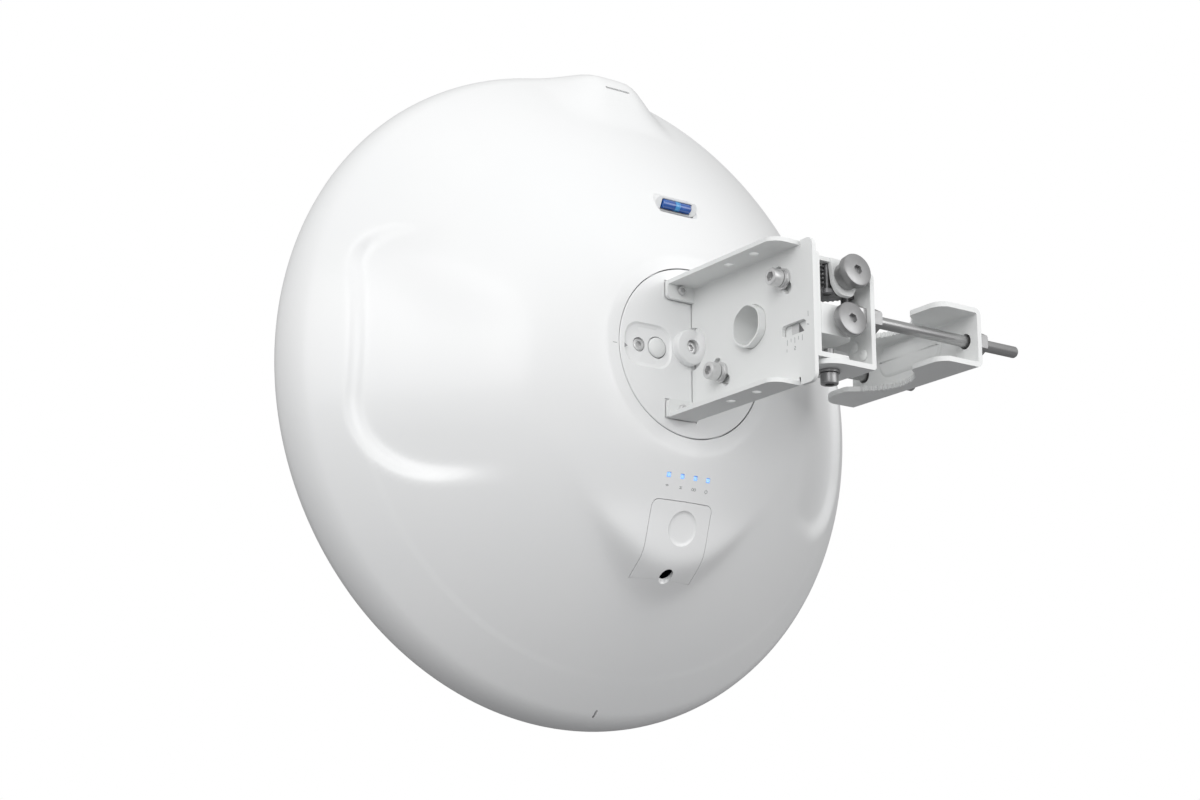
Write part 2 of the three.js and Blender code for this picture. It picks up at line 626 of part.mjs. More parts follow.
function addAdjusters() {
  part("azimuth_knob", knobSolid(AZIMUTH_KNOB_FACE, 5.9, 4), STEEL);
  part("azimuth_worm", wormSolid(AZIMUTH_KNOB_FACE, 15.8, 13, 3.7), DARK_STEEL);
  part("elevation_knob", knobSolid(ELEVATION_KNOB_FACE, 0.9, 30), STEEL);
  part("elevation_worm", wormSolid(ELEVATION_KNOB_FACE, 50, 23, 4.4), DARK_STEEL);
}

// ---------------------------------------------------------------- pole bracket
function addPoleBracket() {
  const plate = slab("x", outline([
    [-231.6, -30], [-212.4, -30], [-212.4, -16, 2], [-195, -9, 4], [-125, -9, 3],
    [-125, 12, 3], [-165, 12, 4], [-175, 5, 4], [-214, 5, 2], [-214, 26.5, 4], [-231.6, 26.5, 4],
  ]), POLE_PLATE_X, POLE_PLATE_OUT);
  const flange = slab("z", outline([
    [POLE_PLATE_OUT, -231.6], [POLE_PLATE_OUT, -202], [5, -202, 14.6], [5, -231.6, 14.6],
  ], 20), -30, -27);
  const cuts = [pin(3.3, 10, [AZIMUTH.x, AZIMUTH.y, -33], [0, 0, 1])];
  for (const y of [ROD.near, ROD.far]) {
    cuts.push(pin(ROD.hole, 10, [POLE_PLATE_X - 3, y, ROD.z], [1, 0, 0]));
  }
  for (const [y, z] of rivetPlaces()) {
    cuts.push(pin(2.2, 10, [POLE_PLATE_X - 3, y, z], [1, 0, 0], 12));
  }
  part("pole_bracket", cut(join(plate, flange), ...cuts), WHITE_COAT);

  rivetPlaces().forEach(([y, z], i) => {
    const profile = [[0, -3], [1.9, -3], [1.9, 0], [3.2, 0], [2.2, 1], [0, 1.3]];
    const rivet = turned(profile, [POLE_PLATE_X - GAP, y, z], [-1, 0, 0], 14);
    part(`bracket_rivet_${i + 1}`, rivet, STEEL);
  });

  const gear = toothed(AZIMUTH.x, AZIMUTH.y, 13.9, 1.2, 30);
  const front = AZIMUTH.y - 1.5;
  const wheel = cut(slab("z", gear, 13.5, 15.8), slab("z", rectangle(0, front - 20, 50, front), 12, 18));
  const arm = slab("z", rectangle(26, front, POLE_PLATE_X - GAP, -212.5), 13.6, 15.7);
  const hub = pin(4.5, 2.3, [AZIMUTH.x, AZIMUTH.y, 13.5], [0, 0, 1]);
  const post = pin(2.6, 9, [34.6, -215.2, 10], [0, 0, 1], 12);
  const hole = pin(2.4, 10, [AZIMUTH.x, AZIMUTH.y, 10], [0, 0, 1]);
  const drum = ribbedBlock(7.3, 17.3, 15.2, 30.2);
  part("azimuth_gear", cut(join(wheel, arm, hub, post, drum), hole), DARK_STEEL);

  const under = -30 - GAP;
  part("azimuth_washer", ring(3.3, 6, 1.5, [AZIMUTH.x, AZIMUTH.y, under - 1.5], [0, 0, 1]), STEEL);
  const bolt = [[0, -14], [2.9, -14], [2.9, 0], [5, 0], [5, 5.6], [4.5, 6], [0, 6]];
  const boltBase = [AZIMUTH.x, AZIMUTH.y, under - 1.8];
  const socket = hexagon(5, 4, [AZIMUTH.x, AZIMUTH.y, under - 1.8 - 3], [0, 0, -1]);
  part("azimuth_lock_bolt", cut(turned(bolt, boltBase, [0, 0, -1]), socket), STEEL);
}

// Block behind the ear whose near face carries level ribs, like the side of a thread.
function ribbedBlock(left, right, low, high) {
  const ribs = 6;
  const pitch = (high - low) / ribs;
  const corners = [[-213, low], [-213, high]];
  for (let k = ribs - 1; k >= 0; k -= 1) {
    corners.push([-216.9, low + (k + 0.8) * pitch], [-218.3, low + (k + 0.4) * pitch]);
  }
  corners.push([-216.9, low]);
  return slab("x", outline(corners), left, right);
}

function rivetPlaces() {
  return [[-217.6, -14.3], [-224.9, -20.3]];
}

function addRodSet(place, y) {
  const outward = [1, 0, 0];
  const start = POLE_PLATE_X - 5.5;
  const shank = pin(ROD.radius, ROD.tip - start, [start, y, ROD.z], outward);
  const head = hexagon(13, 5.2, [start, y, ROD.z], outward);
  part(`clamp_rod_${place}`, join(shank, head), STEEL);
  const nut = (x, height) => cut(
    hexagon(13, height, [x, y, ROD.z], outward),
    pin(ROD.radius + GAP, height + 2, [x - 1, y, ROD.z], outward, 14),
  );
  part(`rod_nut_${place}`, nut(POLE_PLATE_OUT + GAP, 8), STEEL);
  const washerX = CLAMP.out + GAP;
  part(`clamp_washer_${place}`, ring(ROD.radius + GAP, 8, 1.6, [washerX, y, ROD.z], outward), STEEL);
  part(`clamp_nut_${place}`, nut(washerX + 1.6 + GAP, 6.5), STEEL);
}

function addClamp() {
  const low = ROD.z - CLAMP.half;
  const high = ROD.z + CLAMP.half;
  const web = slab("x", rectangle(CLAMP.near, low, CLAMP.far, high), CLAMP.web, CLAMP.out);
  const flange = outline([
    [CLAMP.out, CLAMP.near], [CLAMP.out, CLAMP.far], [CLAMP.open, CLAMP.far, 16],
    [CLAMP.open, SEAT.y + MOUTH.outer, 4], [CLAMP.open + MOUTH.depth, SEAT.y + MOUTH.inner],
    [CLAMP.open + MOUTH.depth, SEAT.y - MOUTH.inner], [CLAMP.open, SEAT.y - MOUTH.outer, 4],
    [CLAMP.open, CLAMP.near, 9],
  ]);
  const rib = slab("x", rectangle(-202, -4, -149, 15, 8), CLAMP.web - 1.2, CLAMP.web + 1);
  const notch = toothed(POLE_NOTCH.x, SEAT.y, POLE_NOTCH.radius, POLE_NOTCH.tooth, POLE_NOTCH.teeth);
  const cuts = [slab("z", notch, low - 1, low + 4), slab("z", notch, high - 4, high + 1)];
  for (const y of [ROD.near, ROD.far]) {
    cuts.push(pin(ROD.hole, 10, [CLAMP.web - 3, y, ROD.z], [1, 0, 0]));
  }
  const upper = slab("z", flange, high - 3, high);
  const lower = slab("z", flange, low, low + 3);
  part("clamp_bracket", cut(join(web, upper, lower, rib), ...cuts), WHITE_COAT);
}

addShell();
addFront();
addReflector();
addElectronics();
addIndicators();
addHubDisc();
addMainBracket();
addPivot();
addYoke();
addLockBolt("upper_lock", SLOT.angle);
addLockBolt("lower_lock", SLOT.angle - 180);
addHousing();
addAdjusters();
addPoleBracket();
addRodSet("near", ROD.near);
addRodSet("far", ROD.far);
addClamp();

const dishAntenna = new THREE.Group();
dishAntenna.add(antenna);
export default dishAntenna;
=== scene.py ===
# Looks of the covered dish antenna and its pole mount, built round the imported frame.
import json
import math

import bmesh
import bpy
import numpy as np
from mathutils import Matrix, Vector
from mathutils.bvhtree import BVHTree
from mathutils.interpolate import poly_3d_calc

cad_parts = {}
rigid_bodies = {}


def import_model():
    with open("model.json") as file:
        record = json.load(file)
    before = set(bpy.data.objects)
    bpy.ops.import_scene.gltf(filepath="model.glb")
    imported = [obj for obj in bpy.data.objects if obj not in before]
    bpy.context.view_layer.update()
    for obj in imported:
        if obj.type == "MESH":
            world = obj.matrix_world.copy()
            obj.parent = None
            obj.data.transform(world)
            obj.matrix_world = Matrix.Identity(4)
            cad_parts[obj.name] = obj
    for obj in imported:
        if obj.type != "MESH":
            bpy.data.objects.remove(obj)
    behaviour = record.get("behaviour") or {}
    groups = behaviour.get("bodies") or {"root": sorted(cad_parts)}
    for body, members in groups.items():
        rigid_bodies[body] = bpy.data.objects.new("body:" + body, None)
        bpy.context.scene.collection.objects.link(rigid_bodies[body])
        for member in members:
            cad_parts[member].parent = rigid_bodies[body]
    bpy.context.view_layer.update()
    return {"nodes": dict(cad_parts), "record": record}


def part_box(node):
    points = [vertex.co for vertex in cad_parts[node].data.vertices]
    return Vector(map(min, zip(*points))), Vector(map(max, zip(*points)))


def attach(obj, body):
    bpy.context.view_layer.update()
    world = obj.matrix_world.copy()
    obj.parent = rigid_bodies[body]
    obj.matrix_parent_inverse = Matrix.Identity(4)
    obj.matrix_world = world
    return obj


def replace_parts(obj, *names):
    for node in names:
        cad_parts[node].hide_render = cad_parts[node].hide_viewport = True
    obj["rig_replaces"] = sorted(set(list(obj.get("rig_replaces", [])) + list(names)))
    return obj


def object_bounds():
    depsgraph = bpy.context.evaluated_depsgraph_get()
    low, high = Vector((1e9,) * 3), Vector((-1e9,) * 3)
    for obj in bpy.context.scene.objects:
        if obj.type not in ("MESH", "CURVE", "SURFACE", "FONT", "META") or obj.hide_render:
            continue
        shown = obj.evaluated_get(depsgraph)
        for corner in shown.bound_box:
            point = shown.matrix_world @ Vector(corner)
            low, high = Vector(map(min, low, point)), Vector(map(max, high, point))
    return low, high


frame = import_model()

# ---------------------------------------------------------------- frame and dimensions
# Shapes are drawn in millimetres in the dish frame: origin at the centre of the rim
# circle, +Y the way the dish looks. DISH is that origin in the row frame.
RIGHT = (1, 0, 0)
AHEAD = (0, 1, 0)
UP = (0, 0, 1)
MM = 0.001
GAP = 0.3
SHEET = 2.5
RIM_RADIUS = 206.0
RIM_BACK_ROUND = 30.5
RIM_FRONT_ROUND = 15.0
FRONT_TURN = 72
BACK_Y = -118.6
BACK_FLAT_RADIUS = 60.0
SHELL_WALL = 2.5
DISC_RADIUS = 50.85
BOSS = {"x": -2.5, "z": 2.4, "radius": 10.6}

TUBE_LOW, TUBE_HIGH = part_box("feed_tube")
FRONT_LIP = MM * RIM_FRONT_ROUND * math.sin(math.radians(FRONT_TURN))
DISH = Vector((
    (TUBE_LOW.x + TUBE_HIGH.x) / 2,
    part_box("rear_shell")[1].y - FRONT_LIP,
    (TUBE_LOW.z + TUBE_HIGH.z) / 2,
))
# Centre of the pole's seat, which is the origin of the row frame.
SEAT = -DISH / MM

CHIN = {"top": 118, "slope": 0.27, "from": 60, "edge": 101, "edge_z": 122, "bow": 0.0095, "fall": 1.45,
        "side": 0.32}
LOBE = {"height": 13.9, "half_width": 43.8, "flank": 33.8, "radius": 192.9, "reach": 35.8,
        "back": 0.878, "up": 0.479, "fade": 28}
GRIP = {"depth": 7, "side": 182, "top": 72, "bottom": -84, "upper_corner": 30, "lower_corner": 52,
        "wall": 12}
COVER = {"top": -86.6, "bottom": -128.5, "half_width": 21, "corner": 4}
THUMB = {"centre": (2.4, -107.0, -101.5), "radius": 10.9, "round": 3.2, "depth": 2.3, "lean": 17}
LED_Z = -72.9
LED_PITCH = 9.27
VIAL = {"y": -104.6, "z": 94.5, "radius": 3, "half_length": 10.2, "cap": 15, "half": 4.2, "tilt": 28}
CABLE_HOLE = {"y": -92, "radius": 4.2}
# (y, z) of the axis that the dish tips about.
ELEVATION_AXIS = (-174.7, 2.3)
SLOT = {"radius": 35, "half_width": 3.3, "travel": 11.6, "angle": 145}
WEB = {"x": 0.5, "out": 0.5 + SHEET, "near": -228.4, "half": 41}
FLANGE_LEFT = -18
FLANGE_END = {"upper": -217.2, "lower": -215}
SLIT = {"width": 1.2, "low": 36.5}
# Reach along X of the cutters that go through the bracket's web.
THROUGH_WEB = (-5, 8)
FOOT_SCREW_Z = 35.6
FOOT = {"left": -18.5, "right": 2.9, "inner": 30, "screw_x": -9}
VENT = {"x": -23.4, "z": 0.1, "radius": 5.9}
DISC_SCREW_X = -36
RADOME = {"edge": 193.4, "crown": 22, "fall": 9.4, "power": 2.4, "wall": 2}
BOLT = {"shank": 2.9, "hole": 3.3, "head": 5, "socket": 5}
# (x, y) of the upright axis that it turns about.
AZIMUTH_AXIS = (20, -217)
YOKE_X = WEB["out"] + GAP
NUT_X = YOKE_X + SHEET + GAP
KNOB_TILT = math.radians(8.5)
KNOB = {"radius": 9.75, "head": 5.5, "neck": 6.9, "collar": 7.8, "shaft": 3.4}
AZIMUTH_KNOB_FACE = (27.5, -234.8, 24.7)
ELEVATION_KNOB_FACE = (22, -235.9, -4.4)
YOKE = {"near": -228, "back": -206, "top": 33.5, "bottom": -26.7, "right": 31}
POLE_PLATE_X = 38.5
POLE_PLATE_OUT = 41.5
POLE_PLATE = {"near": -231.6, "neck": -212.4, "far": -125, "foot": -30, "foot_top": -27}
ROD = {"z": 1.8, "near": -222, "far": -134.5, "radius": 3.4, "hole": 4.5, "tip": 157.4}
CLAMP = {"web": 118, "out": 121, "open": 90, "near": -232.3, "far": -124.2, "half": 17.5}
MOUTH = {"outer": 28.4, "inner": 23.5, "depth": 7}
POLE_NOTCH = {"x": 81.5, "radius": 28, "tooth": 1.3, "teeth": 58}
RIVETS = [(-217.6, -14.3), (-224.9, -20.3)]

# The camera and the floor are in metres and degrees, the camera's place from DISH.
CAMERA = {"place": (-0.75363, -1.11967, -0.36723), "azimuth": -34.56, "rise": 15.17,
          "lens": 67.5924, "sensor": 36}
FLOOR = {"z": -0.62, "radius": 30}
SKY = {"level": 0.67, "tilt": Vector((-0.26, -0.34, 0.34))}

BODY_OF = {node: body for body, nodes in frame["record"]["behaviour"]["bodies"].items() for node in nodes}
SLOT_OF = {row["node"]: row["material_slot"] for row in frame["record"]["subparts"]}


# ---------------------------------------------------------------- materials
def noise(tree, vector, scale, detail):
    texture = tree.nodes.new("ShaderNodeTexNoise")
    texture.inputs["Scale"].default_value = scale
    texture.inputs["Detail"].default_value = detail
    tree.links.new(vector, texture.inputs["Vector"])
    return texture.outputs["Fac"]


def node_material(name, light, dark, roughness, spread=0.05, metallic=0.0, patch=25, grain=900,
                  bump=0.05, depth=0.00005, coat=0.0, stretch=(1, 1, 1)):
    """Surface with slow tone patches, grain in the roughness and a fine bump."""
    material = bpy.data.materials.new(name)
    material.use_nodes = True
    tree = material.node_tree
    shader = tree.nodes["Principled BSDF"]
    shader.inputs["Metallic"].default_value = metallic
    shader.inputs["Coat Weight"].default_value = coat
    shader.inputs["Coat Roughness"].default_value = 0.12
    place = tree.nodes.new("ShaderNodeTexCoord")
    scale = tree.nodes.new("ShaderNodeMapping")
    scale.inputs["Scale"].default_value = stretch
    tree.links.new(place.outputs["Object"], scale.inputs["Vector"])

    ramp = tree.nodes.new("ShaderNodeValToRGB")
    ramp.color_ramp.elements[0].position = 0.35
    ramp.color_ramp.elements[1].position = 0.65
    ramp.color_ramp.elements[0].color = (*dark, 1)
    ramp.color_ramp.elements[1].color = (*light, 1)
    tree.links.new(noise(tree, scale.outputs["Vector"], patch, 3), ramp.inputs["Fac"])
    tree.links.new(ramp.outputs["Color"], shader.inputs["Base Color"])

    fine = noise(tree, scale.outputs["Vector"], grain, 2)
    rough = tree.nodes.new("ShaderNodeMapRange")
    rough.inputs["To Min"].default_value = roughness - spread
    rough.inputs["To Max"].default_value = roughness + spread
    tree.links.new(fine, rough.inputs["Value"])
    tree.links.new(rough.outputs["Result"], shader.inputs["Roughness"])
    relief = tree.nodes.new("ShaderNodeBump")
    relief.inputs["Strength"].default_value = bump
    relief.inputs["Distance"].default_value = depth
    tree.links.new(fine, relief.inputs["Height"])
    tree.links.new(relief.outputs["Normal"], shader.inputs["Normal"])
    return material


def glowing_lens():
    material = node_material("lit_lens", (0.3, 0.55, 1.0), (0.18, 0.42, 0.98), 0.3, patch=900, coat=0.5)
    shader = material.node_tree.nodes["Principled BSDF"]
    shader.inputs["Emission Color"].default_value = (0.16, 0.4, 1.0, 1)
    shader.inputs["Emission Strength"].default_value = 0.55
    return material


MATERIALS = {
    "shell_white": node_material(
        "shell_moulding", (0.835, 0.84, 0.84), (0.82, 0.828, 0.83), 0.34, spread=0.02, patch=9,
        grain=420, bump=0.03, coat=0.12),
    "coat_white": node_material(
        "powder_coat", (0.80, 0.81, 0.805), (0.785, 0.795, 0.79), 0.52, spread=0.05, patch=30,
        grain=1500, bump=0.14),
    "steel": node_material(
        "zinc_steel", (0.70, 0.70, 0.70), (0.60, 0.60, 0.602), 0.38, spread=0.06, metallic=0.75,
        patch=160, grain=1800, bump=0.12),
    "knob_steel": node_material(
        "turned_steel", (0.36, 0.36, 0.362), (0.31, 0.31, 0.312), 0.38, spread=0.05, metallic=0.7,
        patch=120, grain=1600, bump=0.08),
    "rod_steel": node_material(
        "drawn_steel", (0.47, 0.47, 0.47), (0.40, 0.40, 0.402), 0.32, spread=0.05, metallic=0.9,
        patch=60, grain=1800, bump=0.08, stretch=(0.2, 1, 1)),
    "dark_steel": node_material(
        "oiled_steel", (0.20, 0.20, 0.205), (0.13, 0.13, 0.133), 0.42, spread=0.08, metallic=0.7,
        patch=220, grain=1400, bump=0.15),
    "aluminium": node_material(
        "rolled_aluminium", (0.66, 0.67, 0.68), (0.58, 0.59, 0.60), 0.36, spread=0.05, metallic=0.95,
        patch=60, grain=700, bump=0.08, stretch=(1, 12, 1)),
    "feed_plastic": node_material("feed_moulding", (0.80, 0.80, 0.78), (0.76, 0.76, 0.74), 0.5),
    "black_plastic": node_material("black_moulding", (0.03, 0.03, 0.032), (0.022, 0.022, 0.024), 0.55,
                                   bump=0.15),
    "rubber": node_material("grey_rubber", (0.13, 0.13, 0.132), (0.10, 0.10, 0.102), 0.8, bump=0.2),
    "circuit_board": node_material("solder_mask", (0.02, 0.16, 0.06), (0.015, 0.11, 0.045), 0.4, patch=300),
    "led_blue": glowing_lens(),
    "vial_blue": node_material("vial_liquid", (0.012, 0.10, 0.40), (0.008, 0.07, 0.32), 0.16, patch=200,
                               bump=0.01, coat=0.9),
    "print_grey": node_material("grey_print", (0.34, 0.345, 0.35), (0.30, 0.305, 0.31), 0.6),
    "vial_line": node_material("vial_marks", (0.05, 0.33, 0.68), (0.04, 0.27, 0.58), 0.25, coat=0.9),
}


# ---------------------------------------------------------------- solids
def as_object(name, bm):
    bmesh.ops.recalc_face_normals(bm, faces=bm.faces)
    mesh = bpy.data.meshes.new(name)
    bm.to_mesh(mesh)
    bm.free()
    obj = bpy.data.objects.new(name, mesh)
    bpy.context.scene.collection.objects.link(obj)
    return obj


def outline(corners, step=6):
    """Closed outline from corners (a, b, fillet radius), with the fillets as arcs."""
    points = []
    count = len(corners)
    for i, corner in enumerate(corners):
        here = Vector(corner[:2])
        radius = corner[2] if len(corner) > 2 else 0
        if radius == 0:
            points.append(here)
            continue
        before = (Vector(corners[i - 1][:2]) - here).normalized()
        after = (Vector(corners[(i + 1) % count][:2]) - here).normalized()
        half = math.acos(max(-1, min(1, before.dot(after)))) / 2
        centre = here + (before + after).normalized() * (radius / math.sin(half))
        start = here + before * (radius / math.tan(half)) - centre
        sweep = math.pi - 2 * half
        turn = -math.copysign(1, before.x * after.y - before.y * after.x)
        steps = max(2, math.ceil(math.degrees(sweep) / step))
        for k in range(steps + 1):
            spoke = start.copy()
            spoke.rotate(Matrix.Rotation(turn * sweep * k / steps, 2))
            points.append(centre + spoke)
    return [tuple(p) for p in points]


def polar(centre, radius, turn):
    """Point (a, b) at an angle in radians round a centre (a, b)."""
    return centre[0] + radius * math.cos(turn), centre[1] + radius * math.sin(turn)


def circle(a, b, radius, sides=64):
    return [polar((a, b), radius, 2 * math.pi * k / sides) for k in range(sides)]


def toothed(centre, teeth, root, tip, root_share, tip_share):
    """Closed outline with blunt teeth; a share is half the width of a tooth in pitches."""
    points = []
    for k in range(teeth):
        for share, radius in ((-root_share, root), (-tip_share, tip), (tip_share, tip), (root_share, root)):
            points.append(polar(centre, radius, 2 * math.pi * (k + share) / teeth))
    return points


def rectangle(a0, b0, a1, b1, radius=0):
    return outline([(a0, b0, radius), (a1, b0, radius), (a1, b1, radius), (a0, b1, radius)])


def slab(axis, points, low, high):
    """Outline in (y, z), (x, z) or (x, y), thick along the axis that is left."""
    place = {
        "x": lambda a, b, h: (h, a, b),
        "y": lambda a, b, h: (a, h, b),
        "z": lambda a, b, h: (a, b, h),
    }[axis]
    bm = bmesh.new()
    first = [bm.verts.new(place(a, b, low)) for a, b in points]
    last = [bm.verts.new(place(a, b, high)) for a, b in points]
    bm.faces.new(first)
    bm.faces.new(last)
    for i, vertex in enumerate(first):
        j = (i + 1) % len(first)
        bm.faces.new((vertex, first[j], last[j], last[i]))
    return as_object("slab", bm)


def swept(rings, closed):
    """Skin over rings of vertices; a ring of one vertex is a pole."""
    bm = bmesh.new()
    made = [[bm.verts.new(p) for p in ring] for ring in rings]
    pairs = list(zip(made, made[1:]))
    if closed:
        pairs.append((made[-1], made[0]))
    count = max(len(ring) for ring in made)
    for low, high in pairs:
        for k in range(count):
            m = (k + 1) % count
            corners = [low[k % len(low)], low[m % len(low)], high[m % len(high)], high[k % len(high)]]
            unique = list(dict.fromkeys(corners))
            if len(unique) > 2:
                bm.faces.new(unique)
    return as_object("swept", bm)


def turned(profile, base, direction, sides=64, turn=0.0):
    closed = tuple(profile[0]) == tuple(profile[-1])
    points = profile[:-1] if closed else profile
    lay = Vector(UP).rotation_difference(Vector(direction)).to_matrix()
    rings = []
    for radius, height in points:
        spokes = [turn + 2 * math.pi * k / sides for k in range(sides)] if radius > 0 else [0]
        rings.append([
            Vector(base) + lay @ Vector((radius * math.cos(t), radius * math.sin(t), height))
            for t in spokes])
    return swept(rings, closed)


def pin(radius, height, base, direction, sides=48, turn=0.0):
    return turned([(0, 0), (radius, 0), (radius, height), (0, height)], base, direction, sides, turn)


def stepped_pad(box, corner, levels, place):
    """Closed pad on a rounded rectangle (a0, b0, a1, b1) that narrows by an inset at each level."""
    a0, b0, a1, b1 = box
    rings = []
    for inset, height in levels:
        points = rectangle(a0 + inset, b0 + inset, a1 - inset, b1 - inset, corner)
        rings.append([place(a, b, height) for a, b in points])
    rings.insert(0, [sum(rings[0], Vector()) / len(rings[0])])
    rings.append([sum(rings[-1], Vector()) / len(rings[-1])])
    return swept(rings, False)


def ring(inner, outer, height, base, direction, sides=48):
    profile = [(inner, 0), (outer, 0), (outer, height), (inner, height), (inner, 0)]
    return turned(profile, base, direction, sides)


def hexagon(across, height, base, direction, turn=0.0):
    return pin(across / math.sqrt(3), height, base, direction, 6, turn)


def boolean(base, others, operation):
    if not others:
        return base
    group = bpy.data.collections.new("operands")
    for other in others:
        group.objects.link(other)
    modifier = base.modifiers.new("boolean", "BOOLEAN")
    modifier.operation = operation
    modifier.solver = "EXACT"
    modifier.operand_type = "COLLECTION"
    modifier.collection = group
    mesh = bpy.data.meshes.new_from_object(base.evaluated_get(bpy.context.evaluated_depsgraph_get()))
    base.modifiers.clear()
    base.data = mesh
    for other in others:
        bpy.data.objects.remove(other)
    bpy.data.collections.remove(group)
    return base


def join(base, *others):
    return boolean(base, others, "UNION")


def cut(base, *others):
    return boolean(base, others, "DIFFERENCE")


def meet(base, *others):
    return boolean(base, others, "INTERSECT")


def piece(node, obj, name=None, bevel=0.3, angle=32, material=None, stands=True, segments=2):
    """Names a finished shape, moves it into the row frame and ties it to its CAD node."""
    obj.name = name or f"{node}_skin"
    mesh = obj.data
    mesh.name = obj.name
    mesh.transform(Matrix.Translation(DISH) @ Matrix.Scale(MM, 4))
    mesh.materials.clear()
    mesh.materials.append(MATERIALS[material or SLOT_OF[node]])
    for polygon in mesh.polygons:
        polygon.material_index = 0
        polygon.use_smooth = True
    mesh.set_sharp_from_angle(angle=math.radians(angle))
    if bevel:
        modifier = obj.modifiers.new("edges", "BEVEL")
        modifier.width = bevel * MM
        modifier.segments = segments
        modifier.limit_method = "ANGLE"
        modifier.angle_limit = math.radians(angle)
        modifier.harden_normals = True
        modifier.use_clamp_overlap = True
    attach(obj, BODY_OF[node])
    if stands:
        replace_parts(obj, node)
    return obj


# ---------------------------------------------------------------- shell surface
def smooth(t):
    """Eased step from 0 to 1."""
    s = np.clip(t, 0, 1)
    return s * s * (3 - 2 * s)


def soft_max(a, b, blend):
    return 0.5 * (a + b + np.sqrt((a - b) ** 2 + blend ** 2))


def soft_min(a, b, blend):
    return 0.5 * (a + b - np.sqrt((a - b) ** 2 + blend ** 2))


def chin_depth(x, z):
    """Depth behind the rim of the chin's top, underside and sides, blended into one face."""
    down = -z
    top = CHIN["top"] - CHIN["slope"] * (down - CHIN["from"])
    underside = CHIN["edge"] - CHIN["fall"] * (down - CHIN["edge_z"] + CHIN["bow"] * x * x)
    side = CHIN["top"] - 3 - CHIN["side"] * (np.abs(x) - 18) - 0.1 * (down - CHIN["from"])
    return soft_min(soft_min(top, underside, 6), side, 8)


def grip_depth(x, z):
    """Two hand grips: the shell steps in beside the rim and fades out towards the hub."""
    corner = np.where(z > 0, GRIP["upper_corner"], GRIP["lower_corner"])
    past = np.abs(x) - GRIP["side"] + corner
    beyond = np.where(z > 0, z - GRIP["top"], GRIP["bottom"] - z) + corner
    around = np.hypot(np.maximum(past, 0), np.maximum(beyond, 0))
    inside = corner - around - np.minimum(np.maximum(past, beyond), 0)
    reach = 95 + 35 * smooth(z / 60)
    return GRIP["depth"] * smooth(inside / GRIP["wall"]) * smooth((np.abs(x) - reach) / 55)


def shell_point(radius, y, angle):
    """Point of the turned shell after the grips, the chin and the top lobe have moved it."""
    x = radius * np.cos(angle)
    z = radius * np.sin(angle)
    depth = -y - np.where(y < 0, grip_depth(x, z), 0)
    rise = soft_max(depth, chin_depth(x, z), 4) - 0.25 - depth
    depth = depth + np.where(y < -40, rise * smooth((-z - 48) / 16), 0)
    across = smooth((LOBE["half_width"] - np.abs(x)) / LOBE["flank"])
    along = smooth(1 - np.abs(radius - LOBE["radius"]) / LOBE["reach"]) * smooth(-y / LOBE["fade"])
    lift = np.where(z > 0, LOBE["height"] * across * along, 0)
    return np.stack([x, -depth - LOBE["back"] * lift, z + LOBE["up"] * lift], -1)


def shell_profile(curve_steps=76, arc_steps=12):
    """Back profile from the hub seam, over the rim, to the front lip."""
    centre = RIM_RADIUS - RIM_BACK_ROUND
    turn = math.radians(45)
    edge = Vector((centre + RIM_BACK_ROUND * math.cos(turn), -RIM_BACK_ROUND * math.sin(turn)))
    lean = math.radians(47)
    near = edge - 40 * Vector((math.cos(lean), math.sin(lean)))
    start = Vector((BACK_FLAT_RADIUS, BACK_Y + 0.1))
    handle = Vector((110, -107.9))
    points = [Vector((DISC_RADIUS + GAP + k * 2.2, BACK_Y + 0.02 * k)) for k in range(4)]
    for k in range(curve_steps + 1):
        t = k / curve_steps
        u = 1 - t
        points.append(u**3 * start + 3 * t * u * u * handle + 3 * t * t * u * near + t**3 * edge)
    for k in range(1, arc_steps + 1):
        a = turn * (1 - k / arc_steps)
        points.append(Vector((centre + RIM_BACK_ROUND * math.cos(a), -RIM_BACK_ROUND * math.sin(a))))
    inner = RIM_RADIUS - RIM_FRONT_ROUND
    for k in range(1, arc_steps + 1):
        a = math.radians(FRONT_TURN) * k / arc_steps
        points.append(Vector((inner + RIM_FRONT_ROUND * math.cos(a), RIM_FRONT_ROUND * math.sin(a))))
    return np.array(points)


def turned_grid(profile, angles):
    """Points of a turned profile (radius, y), one row for each of its points."""
    radius = profile[:, :1]
    return np.stack([radius * np.cos(angles), profile[:, 1:] + 0 * angles, radius * np.sin(angles)], -1)


def shell_body(segments=300):
    """Closed wall between the shaped skin and a lining that follows it."""
    outer = shell_profile()
    along = np.gradient(outer, axis=0)
    along /= np.linalg.norm(along, axis=1)[:, None]
    inner = outer + SHELL_WALL * np.stack([-along[:, 1], along[:, 0]], -1)
    angles = 2 * np.pi * np.arange(segments) / segments
    skin = shell_point(outer[:, :1], outer[:, 1:], angles)
    lining = turned_grid(inner, angles) + skin - turned_grid(outer, angles)
    return swept([list(map(Vector, row)) for row in [*skin, *lining[::-1]]], True)


def copy_of(obj):
    twin = obj.copy()
    twin.data = obj.data.copy()
    bpy.context.scene.collection.objects.link(twin)
    return twin


